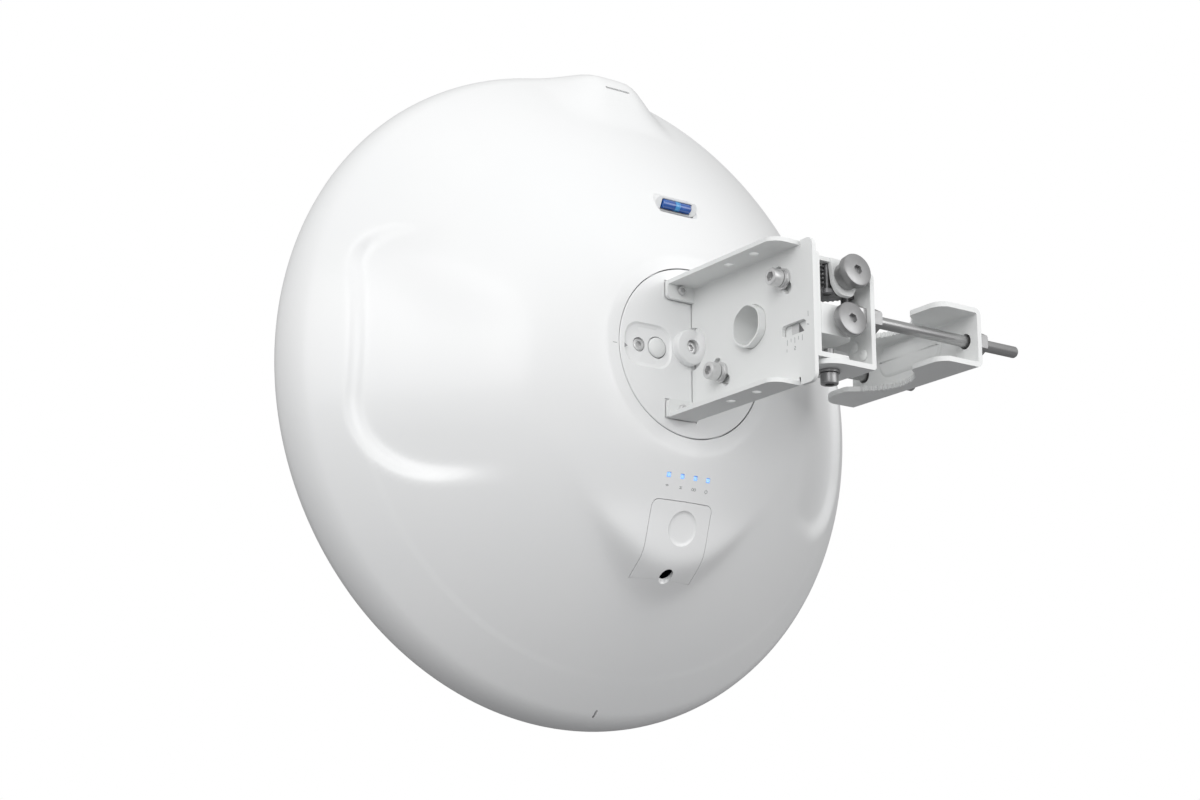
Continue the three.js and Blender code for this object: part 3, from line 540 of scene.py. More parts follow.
def smooth_like(obj, source):
    """Gives cut shells the flowing normals of the uncut one, except on the cut walls."""
    reference = source.data
    tree = BVHTree.FromPolygons([v.co for v in reference.vertices], [p.vertices for p in reference.polygons])
    corner_normals = [v.normal for v in reference.vertices]
    flowing = []
    for vertex in obj.data.vertices:
        spot, _, index, distance = tree.find_nearest(vertex.co)
        if distance > 0.02:
            flowing.append(vertex.normal.copy())
            continue
        ids = reference.polygons[index].vertices
        weights = poly_3d_calc([reference.vertices[i].co for i in ids], spot)
        flowing.append(sum((w * corner_normals[i] for w, i in zip(weights, ids)), Vector()).normalized())
    normals = [None] * len(obj.data.loops)
    for polygon in obj.data.polygons:
        for loop in polygon.loop_indices:
            flow = flowing[obj.data.loops[loop].vertex_index]
            normals[loop] = flow if flow.dot(polygon.normal) > 0.86 else polygon.normal.copy()
    return normals


def cover_outline(grow):
    side = COVER["half_width"] + grow
    corner = COVER["corner"] + grow
    top = COVER["top"] + grow
    bottom = COVER["bottom"] - 0.15 * grow
    return outline([(-side, bottom), (side, bottom), (side, top, corner), (-side, top, corner)])


def vial_block(grow, above, below):
    half_length = VIAL["cap"] + grow
    half = VIAL["half"] + grow
    block = slab("y", rectangle(-half_length, -half, half_length, half, 3.2), -above - 0.6, below)
    tilt = Matrix.Rotation(math.radians(VIAL["tilt"]), 4, "X")
    block.data.transform(Matrix.Translation((0, VIAL["y"], VIAL["z"])) @ tilt)
    return block


def thumb_recess():
    """Cutter with a soft round floor that leans with the cover's face."""
    r = THUMB["radius"]
    depth = THUMB["depth"]
    profile = [(0, -13), (r + 0.4, -13), (r + 0.1, -0.5)]
    for k in range(1, 9):
        a = math.pi / 2 * k / 8
        profile.append((r - THUMB["round"] * (1 - math.cos(a)), depth * math.sin(a)))
    profile.append((0, depth + 0.1))
    lean = Vector((0, 1, math.tan(math.radians(THUMB["lean"])))).normalized()
    return turned(profile, THUMB["centre"], lean, 72)


def add_shell():
    whole = shell_body()
    cable = pin(CABLE_HOLE["radius"], 30, (0, CABLE_HOLE["y"], -140), UP)
    cutters = [
        slab("y", cover_outline(GAP + 0.05), -135, -70),
        vial_block(0.06, 20, 20),
        copy_of(cable),
        slab("y", rectangle(-0.8, -200, 0.8, -196, 0.6), -40, 0),
        slab("y", rectangle(-9.1, 189.0, 9.1, 190.6, 0.7), -60, -43),
    ]
    for k in range(4):
        x = (k - 1.5) * LED_PITCH
        cutters.append(slab("y", rectangle(x - 1.4, LED_Z - 1.4, x + 1.4, LED_Z + 1.4, 0.5), -125, -100))
    shell = cut(copy_of(whole), *cutters)
    cover = cut(meet(copy_of(whole), slab("y", cover_outline(0), -135, -70)), cable, thumb_recess())
    for node, obj in (("rear_shell", shell), ("port_cover", cover)):
        normals = smooth_like(obj, whole)
        piece(node, obj, bevel=0, angle=180)
        obj.data.normals_split_custom_set(normals)
    bpy.data.objects.remove(whole)


# ---------------------------------------------------------------- small things on the dish
def add_front():
    """Slightly crowned radome with a rolled edge."""
    edge = RADOME["edge"]
    stations = [k / 40 for k in range(41)]
    front = [(edge * s, RADOME["crown"] - RADOME["fall"] * s ** RADOME["power"]) for s in stations]
    back = [(r, y - RADOME["wall"]) for r, y in front]
    rolled = [(edge + 0.5, 12.1), (edge + 0.5, 11.1)]
    profile = [*front, *rolled, *reversed(back)]
    piece("front_radome", turned(profile, (0, 0, 0), AHEAD, 160), bevel=0)


def led_lens(k):
    x = (k - 1.5) * LED_PITCH
    top = slab("y", rectangle(x - 1.25, LED_Z - 1.25, x + 1.25, LED_Z + 1.25, 0.4), -115.0, -108)
    piece(f"led_lens_{k + 1}", top, bevel=0.25)


def surface_y(x, z):
    radius = np.hypot(x, z)
    profile = shell_profile()
    base = np.interp(radius, profile[:, 0], profile[:, 1])
    return float(shell_point(radius, base, np.arctan2(z, x))[1])


def printed(name, node, strokes, width, top, low):
    """Thin printed bars. A stroke is two points (a, b), and top and low place such a point in space."""
    bm = bmesh.new()
    for (a0, b0), (a1, b1) in strokes:
        along = Vector((a1 - a0, b1 - b0))
        side = Vector((-along.y, along.x)).normalized() * width / 2
        corners = [(a0 - side.x, b0 - side.y), (a1 - side.x, b1 - side.y),
                   (a1 + side.x, b1 + side.y), (a0 + side.x, b0 + side.y)]
        upper = [bm.verts.new(top(a, b)) for a, b in corners]
        lower = [bm.verts.new(low(a, b)) for a, b in corners]
        bm.faces.new(upper)
        bm.faces.new(lower)
        for i in range(4):
            j = (i + 1) % 4
            bm.faces.new((upper[i], upper[j], lower[j], lower[i]))
    piece(node, as_object(name, bm), name=name, bevel=0, material="print_grey", stands=False)


def printed_on_shell(name, strokes, width):
    printed(name, "rear_shell", strokes, width,
            lambda x, z: (x, surface_y(x, z) - 0.06, z), lambda x, z: (x, surface_y(x, z) + 0.2, z))


def arc_strokes(x, z, radius, start, end, steps=5):
    turns = [math.radians(start + (end - start) * k / steps) for k in range(steps + 1)]
    points = [polar((x, z), radius, t) for t in turns]
    return list(zip(points, points[1:]))


def add_icons():
    """Radio, plug, link and power signs under the four lenses, and the tick of the level scale."""
    z = LED_Z - 6.3
    xs = [(k - 1.5) * LED_PITCH for k in range(4)]
    radio = [s for r in (0.7, 1.3) for s in arc_strokes(xs[0], z - 0.5, r, 40, 140)]
    plug = [((xs[1] - 0.9, z + 0.5), (xs[1] + 0.9, z + 0.5)),
            ((xs[1] - 0.9, z - 0.5), (xs[1] + 0.9, z - 0.5)),
            ((xs[1], z - 0.5), (xs[1], z + 0.5))]
    link = [s for dx in (-0.8, 0.8) for s in arc_strokes(xs[2] + dx, z, 0.7, 0, 360, 8)]
    power = [*arc_strokes(xs[3], z, 0.95, 130, 410, 8), ((xs[3], z + 0.2), (xs[3], z + 1.2))]
    printed_on_shell("status_icons", [*radio, *plug, *link, *power], 0.32)
    printed_on_shell("level_tick", [((-55.2, -2.1), (-52.4, -2.1))], 0.35)


def add_vial():
    """Level vial in its tray, with two rings round it and the bubble as a lighter band."""
    tray = vial_block(0, 0, 7)
    half = VIAL["half_length"]
    bed = pin(VIAL["radius"] + GAP, 2 * half + 1.2, (-half - 0.6, VIAL["y"], VIAL["z"]), RIGHT, 48)
    piece("vial_cradle", cut(tray, bed), bevel=0.25, material="shell_white")
    r = VIAL["radius"]
    ends = [(0, 0), (r * 0.8, 0), (r, 0.8), (r, 2 * half - 0.8), (r * 0.8, 2 * half), (0, 2 * half)]
    tube = turned(ends, (-half, VIAL["y"], VIAL["z"]), RIGHT, 48)
    piece("level_vial", tube, bevel=0.15)
    for k, x in enumerate((-1.3, 1.3)):
        mark = ring(r - 0.1, r + 0.12, 0.55, (x - 0.27, VIAL["y"], VIAL["z"]), RIGHT, 48)
        piece("level_vial", mark, name=f"vial_mark_{k + 1}", bevel=0, material="vial_line", stands=False)
    band = [(0, -1), (r + 0.04, -1), (r + 0.04, 1), (0, 1)]
    bubble = turned(band, (0, VIAL["y"], VIAL["z"]), RIGHT, 40)
    piece("level_vial", bubble, name="vial_bubble", bevel=0.2, material="vial_line", stands=False)


def add_hub_disc():
    """Disc with the centre boss, the vent's pocket and the shallow seats of the bracket's feet."""
    r = DISC_RADIUS - 0.4
    body = turned([(0, 0), (r - 0.35, 0), (r, 0.35), (r, 5), (0, 5)], (0, BACK_Y, 0), AHEAD, 200)
    rim = BOSS["radius"]
    boss = turned([(0, 0), (rim, 0), (rim, 4.6), (rim - 0.5, 5.4), (rim - 1.2, 5.6), (0, 5.6)],
                  (BOSS["x"], BACK_Y + 0.2, BOSS["z"]), (0, -1, 0), 80)
    cuts = [
        pin(4.4, 9.8, (BOSS["x"], -127, BOSS["z"]), AHEAD, 60),
        pin(VENT["radius"] + 0.6, 12, (VENT["x"], BACK_Y - 3, VENT["z"]), AHEAD, 60),
        pin(4.2, 12, (DISC_SCREW_X, BACK_Y - 2, 0), AHEAD, 60),
        stepped_pad((-47, -13, -14, 13), 10, [(0.0, -1.2), (0.0, 0.0), (1.0, 1.0), (2.6, 1.6)],
                    lambda a, b, height: Vector((a, BACK_Y + height, b))),
    ]
    for x0, z0, z1 in ((-19.0, 29.5, 41.5), (-19.0, -41.5, -29.5), (0.0, -29.6, 29.6)):
        cuts.append(slab("y", rectangle(x0, z0, 3.5, z1), BACK_Y - 1, BACK_Y + 0.8))
    disc = cut(join(body, boss), *cuts)
    piece("hub_disc", disc, bevel=0.22, angle=18)
    marker = slab("y", [(-47.2, -1.2), (-45.0, -2.6), (-47.2, -4.0)], BACK_Y - 0.05, BACK_Y + 0.3)
    piece("hub_disc", marker, name="level_pointer", bevel=0, material="print_grey", stands=False)

    vent = [(0, 0)]
    for k in range(1, 9):
        a = math.pi / 2 * k / 8
        vent.append((VENT["radius"] * math.sin(a), 1.9 * (1 - math.cos(a))))
    vent += [(VENT["radius"], 6), (0, 6)]
    piece("vent_plug", turned(vent, (VENT["x"], BACK_Y - 0.4, VENT["z"]), AHEAD, 64), bevel=0)
    screw("disc_screw", 3.8, (DISC_SCREW_X, BACK_Y + 1.9, 0), AHEAD)
    screw("centre_screw", 4.1, (BOSS["x"], -121.5, BOSS["z"]), AHEAD)


def screw(node, head, base, direction, material=None):
    shank = head * 0.55
    profile = [(0, 0), (head - 0.7, 0), (head - 0.2, 0.2), (head, 0.7), (head, 2.2), (shank, 2.2),
               (shank, 4), (0, 4)]
    into = Vector(direction).normalized()
    socket = hexagon(head * 0.9, 2.2, Vector(base) - into, direction)
    piece(node, cut(turned(profile, base, direction, 48), socket), bevel=0.12, material=material)


# ---------------------------------------------------------------- main bracket
def arc_slot(angle, arc_steps=16, end_steps=12):
    """Slot along an arc round the elevation axis, with round ends."""
    start = math.radians(angle - SLOT["travel"])
    end = math.radians(angle + SLOT["travel"])
    half = SLOT["half_width"]
    points = []
    for first, last, radius, lean in ((start, end, SLOT["radius"] + half, 0),
                                      (end, start, SLOT["radius"] - half, math.pi)):
        for k in range(arc_steps + 1):
            points.append(polar(ELEVATION_AXIS, radius, first + (last - first) * k / arc_steps))
        tip = polar(ELEVATION_AXIS, SLOT["radius"], last)
        for k in range(1, end_steps):
            points.append(polar(tip, half, last + lean + math.pi * k / end_steps))
    return points


def bolt_place(angle):
    return polar(ELEVATION_AXIS, SLOT["radius"], math.radians(angle))


def pivot_hexagon(grow, low, high, across=24.2, corner=9):
    """Hexagon with well rounded corners round the elevation axis, thick along X."""
    vertex = (across / 2 + grow) / math.cos(math.pi / 6)
    corners = [(*polar(ELEVATION_AXIS, vertex, math.radians(30 + 60 * k)), corner + grow) for k in range(6)]
    return slab("x", outline(corners), low, high)


def bent_channel(back):
    """The folded section, run along Y, with rounded bends."""
    out = WEB["out"]
    half = WEB["half"]
    section = outline([
        (FLANGE_LEFT, half), (out, half, 2.8), (out, -half, 2.8), (FLANGE_LEFT, -half),
        (FLANGE_LEFT, SHEET - half), (WEB["x"], SHEET - half, 0.6),
        (WEB["x"], half - SHEET, 0.6), (FLANGE_LEFT, half - SHEET)], 12)
    return slab("y", section, FLANGE_END["upper"], back)


def flange_outline(back, end):
    right = WEB["out"] + 1
    left = FLANGE_LEFT - 0.5
    return outline([(right, back), (left, back), (left, end, 9), (right, end)])


def add_main_bracket():
    """Folded channel whose web runs on past the flanges, with two feet turned in on the hub disc."""
    back = BACK_Y - GAP
    out = WEB["out"]
    half = WEB["half"]
    low = SLIT["low"]
    upper_end = FLANGE_END["upper"]
    lower_end = FLANGE_END["lower"]
    reach = join(slab("z", flange_outline(back, upper_end), 0, half + 1),
                 slab("z", flange_outline(back, lower_end), -half - 1, 0.5))
    folded = meet(bent_channel(back), reach)
    tab = slab("x", outline([
        (-205, -low), (lower_end - SLIT["width"], -low, 0.5), (lower_end - SLIT["width"], -half),
        (WEB["near"], -half, 5), (WEB["near"], half, 5), (upper_end - SLIT["width"], half),
        (upper_end - SLIT["width"], low, 0.5), (-205, low)]), WEB["x"], out)
    channel = join(folded, tab)
    left = FOOT["left"]
    right = FOOT["right"]
    inner = FOOT["inner"]
    edge = half - 0.4
    foot_up = slab("y", outline([(left, inner, 3), (right, inner), (right, edge), (left, edge)]),
                   back - SHEET, back)
    foot_down = slab("y", outline([(left, -edge), (right, -edge), (right, -inner), (left, -inner, 3)]),
                     back - SHEET, back)
    window = rectangle(-221.5, -11.5, -200.9, -4.5, 2.5)
    cuts = [
        slab("x", circle(back, BOSS["z"], BOSS["radius"] + 2.2), *THROUGH_WEB),
        slab("x", arc_slot(SLOT["angle"]), *THROUGH_WEB),
        slab("x", arc_slot(SLOT["angle"] - 180), *THROUGH_WEB),
        slab("x", window, *THROUGH_WEB),
        pivot_hexagon(GAP, *THROUGH_WEB),
    ]
    cuts += [pin(2.7, 100, (-10, y, -50), UP, 40) for y in (-168, -191)]
    screw_x = FOOT["screw_x"]
    cuts += [pin(1.8, 10, (screw_x, back - 6, z), AHEAD, 32) for z in (-FOOT_SCREW_Z, FOOT_SCREW_Z)]
    piece("main_bracket", cut(join(channel, foot_up, foot_down), *cuts), bevel=0.35)
    head_top = back - SHEET - 2.5
    for name, z in (("upper", FOOT_SCREW_Z), ("lower", -FOOT_SCREW_Z)):
        screw(f"foot_screw_{name}", 2.6, (screw_x, head_top, z), AHEAD, material="steel")


def add_scale():
    """Degree ticks with a pointer, and their plain digits, printed below the window."""
    strokes = []
    for k in range(5):
        y = -205.5 - 3.2 * k
        strokes.append(((y, -13.2), (y, -16.4 if k % 2 == 0 else -15.2)))
    one = [((0, 1.8), (0, 0))]
    corners = [(0, 1.8), (1, 1.8), (1, 0.9), (0, 0.9), (0, 0), (1, 0)]
    two = list(zip(corners, corners[1:]))
    for digit, y in ((one, -205.0), (two, -211.4)):
        strokes += [((y - a[0], -20.2 + a[1]), (y - b[0], -20.2 + b[1])) for a, b in digit]
    strokes += [((-223.6, -4), (-223.6, -1)), ((-222.4, -8.2), (-224.2, -8.8))]
    printed("scale_print", "main_bracket", strokes, 0.32,
            lambda y, z: (WEB["x"] - 0.05, y, z), lambda y, z: (WEB["x"] + 0.2, y, z))


def add_pivot():
    """Bushing with a rounded hexagonal front and a round sleeve through the yoke."""
    front = pivot_hexagon(0, -4, YOKE_X + 1)
    sleeve = pin(12.6, 14, (YOKE_X, *ELEVATION_AXIS), RIGHT, 96)
    bore = pivot_hexagon(0, -5, 15.8, 22, 8)
    piece("pivot_bushing", cut(join(front, sleeve), bore), bevel=0.25)


# ---------------------------------------------------------------- yoke, housing, adjusters
def knob_direction():
    return Vector((0, math.cos(KNOB_TILT), -math.sin(KNOB_TILT)))


def along_knob(face, distance):
    return Vector(face) + knob_direction() * distance


def ear():
    """Tab of the yoke's top that holds the upper knob, square to the knob's axis."""
    shape = outline([
        (-8.6, 10.6), (-8.6, -4.6, 5), (-5.5, -11.2, 6), (4, -11.2, 4), (7.2, -6.2, 2),
        (9.2, 4, 2), (9.2, 10.6, 6)])
    flat = slab("y", shape, 0, SHEET)
    centre = along_knob(AZIMUTH_KNOB_FACE, 11.7)
    flat.data.transform(Matrix.Translation(centre) @ Matrix.Rotation(-KNOB_TILT, 4, "X"))
    return flat


def add_yoke():
    """Plate beside the bracket's web, with a top and a bottom plate turned out from it and the ear."""
    x = YOKE_X
    near = YOKE["near"]
    back = YOKE["back"]
    low = YOKE["bottom"]
    high = YOKE["top"]
    plate = slab("x", outline([
        (near, low, 2), (-160, low, 8), (-138, -22, 8), (-138, -6, 8), (-160, 16, 8),
        (-185, high, 8), (near, high, 3)]), x, x + SHEET)
    right = YOKE["right"]
    cover = outline([(x, near + 6.8), (right, near + 6.8), (right, back, 11), (x, back)])
    top = slab("z", cover, high - SHEET, high)
    under = outline([(x, near), (right, near, 10.5), (right, back, 10.5), (x, back)])
    bottom = slab("z", under, low, low + 2.8)
    cuts = [
        pin(13.2, 12, (x - 3, *ELEVATION_AXIS), RIGHT, 96),
        pin(BOLT["hole"], 20, (*AZIMUTH_AXIS, -35), UP),
        slab("x", rectangle(-222.3, -13, -200.1, -3), x - 1, x + 1.2),
        pin(3.9, 8, along_knob(AZIMUTH_KNOB_FACE, 9), knob_direction()),
    ]
    for angle in (SLOT["angle"], SLOT["angle"] - 180):
        cuts.append(pin(BOLT["hole"], 12, (x - 3, *bolt_place(angle)), RIGHT))
    piece("yoke_bracket", cut(join(plate, top, bottom, ear()), *cuts), bevel=0.4, segments=3)
    index = slab("x", rectangle(-221.8, -12.5, -200.6, -3.5, 1), x + 0.1, x + 0.9)
    piece("index_plate", index, bevel=0.15)
    add_index_pointer()


def add_index_pointer():
    """Grey block and dark arrow head that show through the scale window."""
    x = YOKE_X
    block = slab("x", [(-206.5, -11.2), (-212.4, -11.2), (-212.4, -5), (-206.5, -5)], x - 0.2, x + 0.2)
    piece("index_plate", block, name="index_mark", bevel=0, material="steel", stands=False)
    arrow = slab("x", [(-212.8, -5), (-212.8, -11.2), (-217.6, -11.2)], x - 0.2, x + 0.2)
    piece("index_plate", arrow, name="index_arrow", bevel=0, material="dark_steel", stands=False)


def bolt_profile(shank_length, shoulder, rim):
    """Half section of a socket bolt, from the end of its shank to the top of its head."""
    shank = BOLT["shank"]
    head = BOLT["head"]
    return [(0, -shank_length), (shank, -shank_length), (shank, 0), (head, 0), (head, shoulder), (rim, 5.8),
            (4.3, 6), (0, 6)]


def add_lock_bolt(name, angle):
    """Socket bolt with a flat and a split washer on the web, and its nut behind the yoke."""
    y, z = bolt_place(angle)
    outward = (-1, 0, 0)
    face = WEB["x"] - GAP
    hole = BOLT["hole"]
    flat = [(hole, 0), (6, 0), (6, 1.3), (5.2, 1.4), (5.2, 3), (hole, 3), (hole, 0)]
    split = slab("x", rectangle(y - 0.35, z + 2, y + 0.35, z + 8), face - 3.2, face - 1.42)
    washers = cut(turned(flat, (face, y, z), outward, 72), split)
    piece(f"{name}_washers", washers, bevel=0.18)
    under = face - 3.3
    profile = bolt_profile(15, 5.2, 4.75)
    socket = hexagon(BOLT["socket"], 4, (under - 3, y, z), outward, 0.4)
    piece(f"{name}_bolt", cut(turned(profile, (under, y, z), outward, 72), socket), bevel=0.15)
    nut = cut(hexagon(10, 5, (NUT_X, y, z), RIGHT), pin(3.2, 8, (NUT_X - 1, y, z), RIGHT))
    piece(f"{name}_nut", nut, bevel=0.3)


def add_housing():
    """Block that carries the lower knob's shaft."""
    right = YOKE["right"]
    block = outline([(NUT_X, -227.6, 1), (right, -227.6, 8), (right, -205, 8), (NUT_X, -205)])
    body = slab("z", block, -13.3, 3.9)
    bore = pin(4.2, 60, along_knob(ELEVATION_KNOB_FACE, -4), knob_direction())
    piece("elevation_housing", cut(body, bore), bevel=1.1, segments=4)


def knob(node, face, collar_length, shaft_length):
    """Head with a hex socket, a neck groove, a collar and a shaft, in one turned piece."""
    r = KNOB["radius"]
    neck = KNOB["neck"]
    collar = KNOB["collar"]
    shaft = KNOB["shaft"]
    head_end = KNOB["head"]
    collar_end = head_end + collar_length
    shaft_end = collar_end + shaft_length
    profile = [(0, 0), (r - 1.1, 0), (r - 0.35, 0.35), (r, 1.1), (r, head_end - 0.9),
               (r - 0.7, head_end - 0.1), (neck, head_end), (neck, head_end + 0.7),
               (collar, head_end + 0.8), (collar, collar_end - 0.3),
               (collar - 0.3, collar_end), (shaft, collar_end), (shaft, shaft_end), (0, shaft_end)]
    body = turned(profile, face, knob_direction(), 120)
    socket = hexagon(5, 3.2, along_knob(face, -1), knob_direction(), 0.3)
    piece(node, cut(body, socket), bevel=0.18, material="knob_steel")


def thread(radius, depth, pitch, length, base, direction, ends=0.6, sides=40, steps=6):
    """Rod whose skin rises and falls along one true helix."""
    rows = max(2, int(length / pitch * steps))
    lay = Vector(UP).rotation_difference(Vector(direction)).to_matrix()
    rings = [[Vector(base)]]
    for i in range(rows + 1):
        height = length * i / rows
        row = []
        for k in range(sides):
            a = 2 * math.pi * k / sides
            phase = (height / pitch - k / sides) % 1
            wave = abs(2 * phase - 1)
            near_end = min(height, length - height)
            taper = min(1, near_end / ends)
            r = radius - depth * (1 - wave * taper) - 0.4 * depth * (1 - taper)
            row.append(Vector(base) + lay @ Vector((r * math.cos(a), r * math.sin(a), height)))
        rings.append(row)
    rings.append([Vector(base) + lay @ Vector((0, 0, length))])
    return swept(rings, False)


def add_adjusters():
    knob("azimuth_knob", AZIMUTH_KNOB_FACE, 5.9, 4)
    knob("elevation_knob", ELEVATION_KNOB_FACE, 0.9, 30)
    worm = thread(3.7, 1, 2.6, 13, along_knob(AZIMUTH_KNOB_FACE, 15.8), knob_direction())
    piece("azimuth_worm", worm, bevel=0)
    worm = thread(4.4, 1.1, 2.6, 23, along_knob(ELEVATION_KNOB_FACE, 50), knob_direction())
    piece("elevation_worm", worm, bevel=0)


def add_gear():
    """Gear cut off in front of the azimuth pin, with its arm to the pole plate and the ribbed block."""
    teeth = toothed(AZIMUTH_AXIS, 30, 12.7, 13.9, 0.32, 0.16)
    front = AZIMUTH_AXIS[1] - 1.5
    wheel = cut(slab("z", teeth, 13.5, 15.8), slab("z", rectangle(0, front - 20, 50, front), 12, 18))
    arm = slab("z", rectangle(26, front, POLE_PLATE_X - GAP, -212.5), 13.6, 15.7)
    hub = pin(4.5, 2.3, (*AZIMUTH_AXIS, 13.5), UP)
    post = pin(2.6, 9, (34.6, -215.2, 10), UP)
    hole = pin(2.4, 10, (*AZIMUTH_AXIS, 10), UP)
    drum = ribbed_block(7.3, 17.3, 15.2, 30.2)
    piece("azimuth_gear", cut(join(wheel, arm, hub, post, drum), hole), bevel=0.12)


def ribbed_block(left, right, low, high):
    """Block behind the ear whose near face carries level ribs, like the side of a thread."""
    ribs = 6
    pitch = (high - low) / ribs
    corners = [(-213, low), (-213, high)]
    for k in reversed(range(ribs)):
        base = low + k * pitch
        corners += [(-216.9, base + 0.92 * pitch), (-218.3, base + 0.62 * pitch),
                    (-218.3, base + 0.4 * pitch), (-216.9, base + 0.1 * pitch)]
    return slab("x", corners, left, right)


# ---------------------------------------------------------------- pole bracket and clamp
def add_pole_bracket():
    """Pole plate with the foot under the yoke that is folded from it, and the parts that fasten them."""
    inner = POLE_PLATE_X
    out = POLE_PLATE_OUT
    near = POLE_PLATE["near"]
    neck = POLE_PLATE["neck"]
    far = POLE_PLATE["far"]
    low = POLE_PLATE["foot"]
    foot_top = POLE_PLATE["foot_top"]
    plate = slab("x", outline([
        (near, low + 1), (neck, low + 1), (neck, -16, 2), (-195, -9, 4), (far, -9, 3),
        (far, 12, 3), (-165, 12, 4), (-175, 5, 4), (-214, 5, 2), (-214, 26.5, 4), (near, 26.5, 4)]),
        inner, out)
    flange = slab("z", outline([(out - 1, near), (out - 1, -202), (5, -202, 14.6), (5, near, 14.6)], 5),
                  low, foot_top)
    bend = slab("y", outline([(out - 3, low), (out, low, 2.4), (out, low + 4), (inner, low + 4),
                              (inner, foot_top), (out - 3.2, foot_top)]), near, neck)
    cuts = [pin(BOLT["hole"], 10, (*AZIMUTH_AXIS, -33), UP), *rod_holes(inner - 3)]
    cuts += [pin(2.2, 10, (inner - 3, y, z), RIGHT) for y, z in RIVETS]
    trim = slab("x", rectangle(neck, low - 1, -201, -26.5), out - 2.9, out + 1)
    piece("pole_bracket", cut(join(plate, flange, bend), trim, *cuts), bevel=0.4, segments=3)
    profile = [(0, -3), (1.9, -3), (1.9, 0), (3.2, 0), (3.0, 0.5), (2.3, 1.0), (1.2, 1.25), (0, 1.3)]
    for i, (y, z) in enumerate(RIVETS):
        rivet = turned(profile, (inner - GAP, y, z), (-1, 0, 0), 48)
        piece(f"bracket_rivet_{i + 1}", rivet, bevel=0, material="coat_white")
    under = low - GAP
    washer = ring(BOLT["hole"], 6, 1.5, (*AZIMUTH_AXIS, under - 1.5), UP, 64)
    piece("azimuth_washer", washer, bevel=0.2, material="knob_steel")
    bolt = turned(bolt_profile(14, 5.3, 4.8), (*AZIMUTH_AXIS, under - 1.8), (0, 0, -1), 72)
    socket = hexagon(BOLT["socket"], 4, (*AZIMUTH_AXIS, under - 4.8), (0, 0, -1))
    piece("azimuth_lock_bolt", cut(bolt, socket), bevel=0.15, material="knob_steel")


def rod_holes(x):
    return [pin(ROD["hole"], 10, (x, y, ROD["z"]), RIGHT, 64) for y in (ROD["near"], ROD["far"])]


def add_rod_set(place):
    """Long rod with its nut on the pole plate, and the washer and nut outside the clamp."""
    y = ROD[place]
    start = POLE_PLATE_X - 5.5
    r = ROD["radius"]
    length = ROD["tip"] - start
    shank = turned([(0, 4), (r, 4), (r, length - 1.1), (r - 0.35, length - 0.4), (r - 1, length),
                    (0, length)], (start, y, ROD["z"]), RIGHT, 64)
    head = hexagon(13, 5.2, (start, y, ROD["z"]), RIGHT)
    piece(f"clamp_rod_{place}", join(head, shank), bevel=0.2, angle=28, material="rod_steel")

    def nut(x, height):
        blank = hexagon(13, height, (x, y, ROD["z"]), RIGHT)
        cone = turned([(0, -0.5), (6.6, -0.5), (8.2, 1.4), (8.2, height - 1.4), (6.6, height + 0.5),
                       (0, height + 0.5)], (x, y, ROD["z"]), RIGHT, 64)
        hole = pin(r + GAP, height + 2, (x - 1, y, ROD["z"]), RIGHT)
        return cut(meet(blank, cone), hole)

    piece(f"rod_nut_{place}", nut(POLE_PLATE_OUT + GAP, 8), bevel=0.12, material="knob_steel")
    washer_x = CLAMP["out"] + GAP
    washer = ring(r + GAP, 8, 1.6, (washer_x, y, ROD["z"]), RIGHT, 72)
    piece(f"clamp_washer_{place}", washer, bevel=0.2, material="knob_steel")
    piece(f"clamp_nut_{place}", nut(washer_x + 1.6 + GAP, 6.5), bevel=0.12, material="knob_steel")


def add_clamp():
    """Channel with a toothed round notch for the pole, a mouth that opens to it, and a bead in the web."""
    low = ROD["z"] - CLAMP["half"]
    high = ROD["z"] + CLAMP["half"]
    out = CLAMP["out"]
    web_x = CLAMP["web"]
    edge = CLAMP["open"]
    near = CLAMP["near"]
    far = CLAMP["far"]
    section = outline([
        (edge, low), (out, low, 4), (out, high, 4), (edge, high),
        (edge, high - 3), (web_x, high - 3, 1.2), (web_x, low + 3, 1.2), (edge, low + 3)], 9)
    throat = edge + MOUTH["depth"]
    reach = slab("z", outline([
        (out + 1, near - 1), (out + 1, far + 1), (out - 6, far + 1), (edge, far, 16),
        (edge, SEAT.y + MOUTH["outer"], 4), (throat, SEAT.y + MOUTH["inner"]),
        (throat, SEAT.y - MOUTH["inner"]), (edge, SEAT.y - MOUTH["outer"], 4),
        (edge, near, 9), (out - 6, near - 1)]), low - 1, high + 1)
    bead = stepped_pad((-202, -4, -149, 15), 8, [(0, 1), (0, -0.15), (0.9, -0.9), (1.9, -1.2)],
                       lambda a, b, height: Vector((web_x + height, a, b)))
    radius = POLE_NOTCH["radius"]
    notch = toothed((POLE_NOTCH["x"], SEAT.y), POLE_NOTCH["teeth"], radius, radius - POLE_NOTCH["tooth"],
                    0.34, 0.2)
    cuts = [slab("z", notch, low - 1, low + 4), slab("z", notch, high - 4, high + 1)]
    cuts += rod_holes(web_x - 3)
    channel = slab("y", section, near, far)
    piece("clamp_bracket", cut(join(meet(channel, reach), bead), *cuts), bevel=0.4, segments=3)


# ---------------------------------------------------------------- scene
def dress_kept_nodes():
    """Gives the CAD solids that nothing replaces their material."""
    shown = {name for obj in bpy.data.objects for name in obj.get("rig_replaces", [])}
    for name, obj in frame["nodes"].items():
        if name in shown:
            continue
        obj.data.materials.clear()
        obj.data.materials.append(MATERIALS[SLOT_OF[name]])


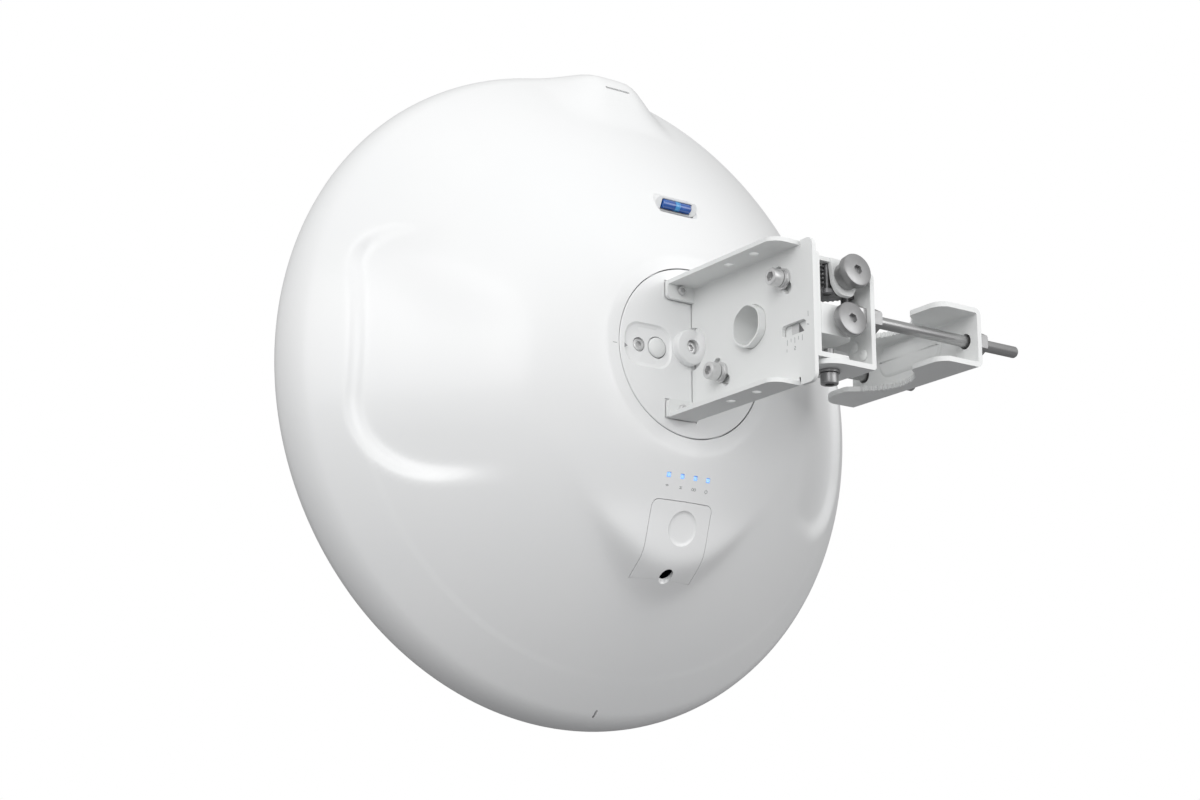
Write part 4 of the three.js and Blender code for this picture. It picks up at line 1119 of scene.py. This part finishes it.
def add_stage():
    """Grey floor below the object, which the photo's view doesn't show."""
    low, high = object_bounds()
    bm = bmesh.new()
    bmesh.ops.create_circle(bm, cap_ends=True, segments=96, radius=FLOOR["radius"])
    floor = as_object("floor", bm)
    floor.location = ((low[0] + high[0]) / 2, (low[1] + high[1]) / 2, FLOOR["z"])
    floor.data.materials.append(node_material("pale_floor", (0.27, 0.27, 0.275), (0.26, 0.26, 0.265), 0.8,
                                              patch=2, grain=60, bump=0.02))


def add_camera():
    data = bpy.data.cameras.new("camera")
    data.sensor_width = CAMERA["sensor"]
    data.lens = CAMERA["lens"]
    data.clip_end = 50
    camera = bpy.data.objects.new("camera", data)
    camera.location = Vector(CAMERA["place"]) + DISH
    camera.rotation_euler = (math.radians(90 + CAMERA["rise"]), 0, math.radians(CAMERA["azimuth"]))
    bpy.context.scene.collection.objects.link(camera)
    bpy.context.scene.camera = camera


def add_light(name, offset, size, watts):
    """Soft box that stands off the dish centre and points at it."""
    place = DISH + Vector(offset)
    data = bpy.data.lights.new(name, "AREA")
    data.shape = "RECTANGLE"
    data.size, data.size_y = size
    data.energy = watts
    light = bpy.data.objects.new(name, data)
    light.location = place
    light.rotation_euler = (DISH - place).to_track_quat("-Z", "Y").to_euler()
    bpy.context.scene.collection.objects.link(light)


def add_world():
    """Soft studio surround, brighter up and to the left, in front of a white backdrop."""
    world = bpy.data.worlds.new("studio")
    bpy.context.scene.world = world
    world.use_nodes = True
    tree = world.node_tree
    tree.nodes.clear()
    place = tree.nodes.new("ShaderNodeTexCoord")
    dot = tree.nodes.new("ShaderNodeVectorMath")
    dot.operation = "DOT_PRODUCT"
    dot.inputs[1].default_value = SKY["tilt"]
    tree.links.new(place.outputs["Generated"], dot.inputs[0])
    level = tree.nodes.new("ShaderNodeMath")
    level.operation = "ADD"
    level.inputs[1].default_value = SKY["level"]
    tree.links.new(dot.outputs["Value"], level.inputs[0])
    surround = tree.nodes.new("ShaderNodeBackground")
    tree.links.new(level.outputs["Value"], surround.inputs["Strength"])
    backdrop = tree.nodes.new("ShaderNodeBackground")
    backdrop.inputs["Color"].default_value = (1, 1, 1, 1)
    seen = tree.nodes.new("ShaderNodeLightPath")
    mix = tree.nodes.new("ShaderNodeMixShader")
    tree.links.new(seen.outputs["Is Camera Ray"], mix.inputs["Fac"])
    tree.links.new(surround.outputs["Background"], mix.inputs[1])
    tree.links.new(backdrop.outputs["Background"], mix.inputs[2])
    out = tree.nodes.new("ShaderNodeOutputWorld")
    tree.links.new(mix.outputs["Shader"], out.inputs["Surface"])


def add_lights():
    add_world()
    add_light("key", (-1.6, -1.3, 0.6), (1.3, 1.3), 15.5)
    add_light("fill", (0.9, -2.1, 0.35), (1.6, 1.3), 17)
    bpy.context.scene.view_settings.view_transform = "Standard"


add_camera()
add_shell()
add_front()
for lens in range(4):
    led_lens(lens)
add_icons()
add_vial()
add_hub_disc()
add_main_bracket()
add_scale()
add_pivot()
add_yoke()
add_lock_bolt("upper_lock", SLOT["angle"])
add_lock_bolt("lower_lock", SLOT["angle"] - 180)
add_housing()
add_adjusters()
add_gear()
add_pole_bracket()
add_rod_set("near")
add_rod_set("far")
add_clamp()
dress_kept_nodes()
add_stage()
add_lights()
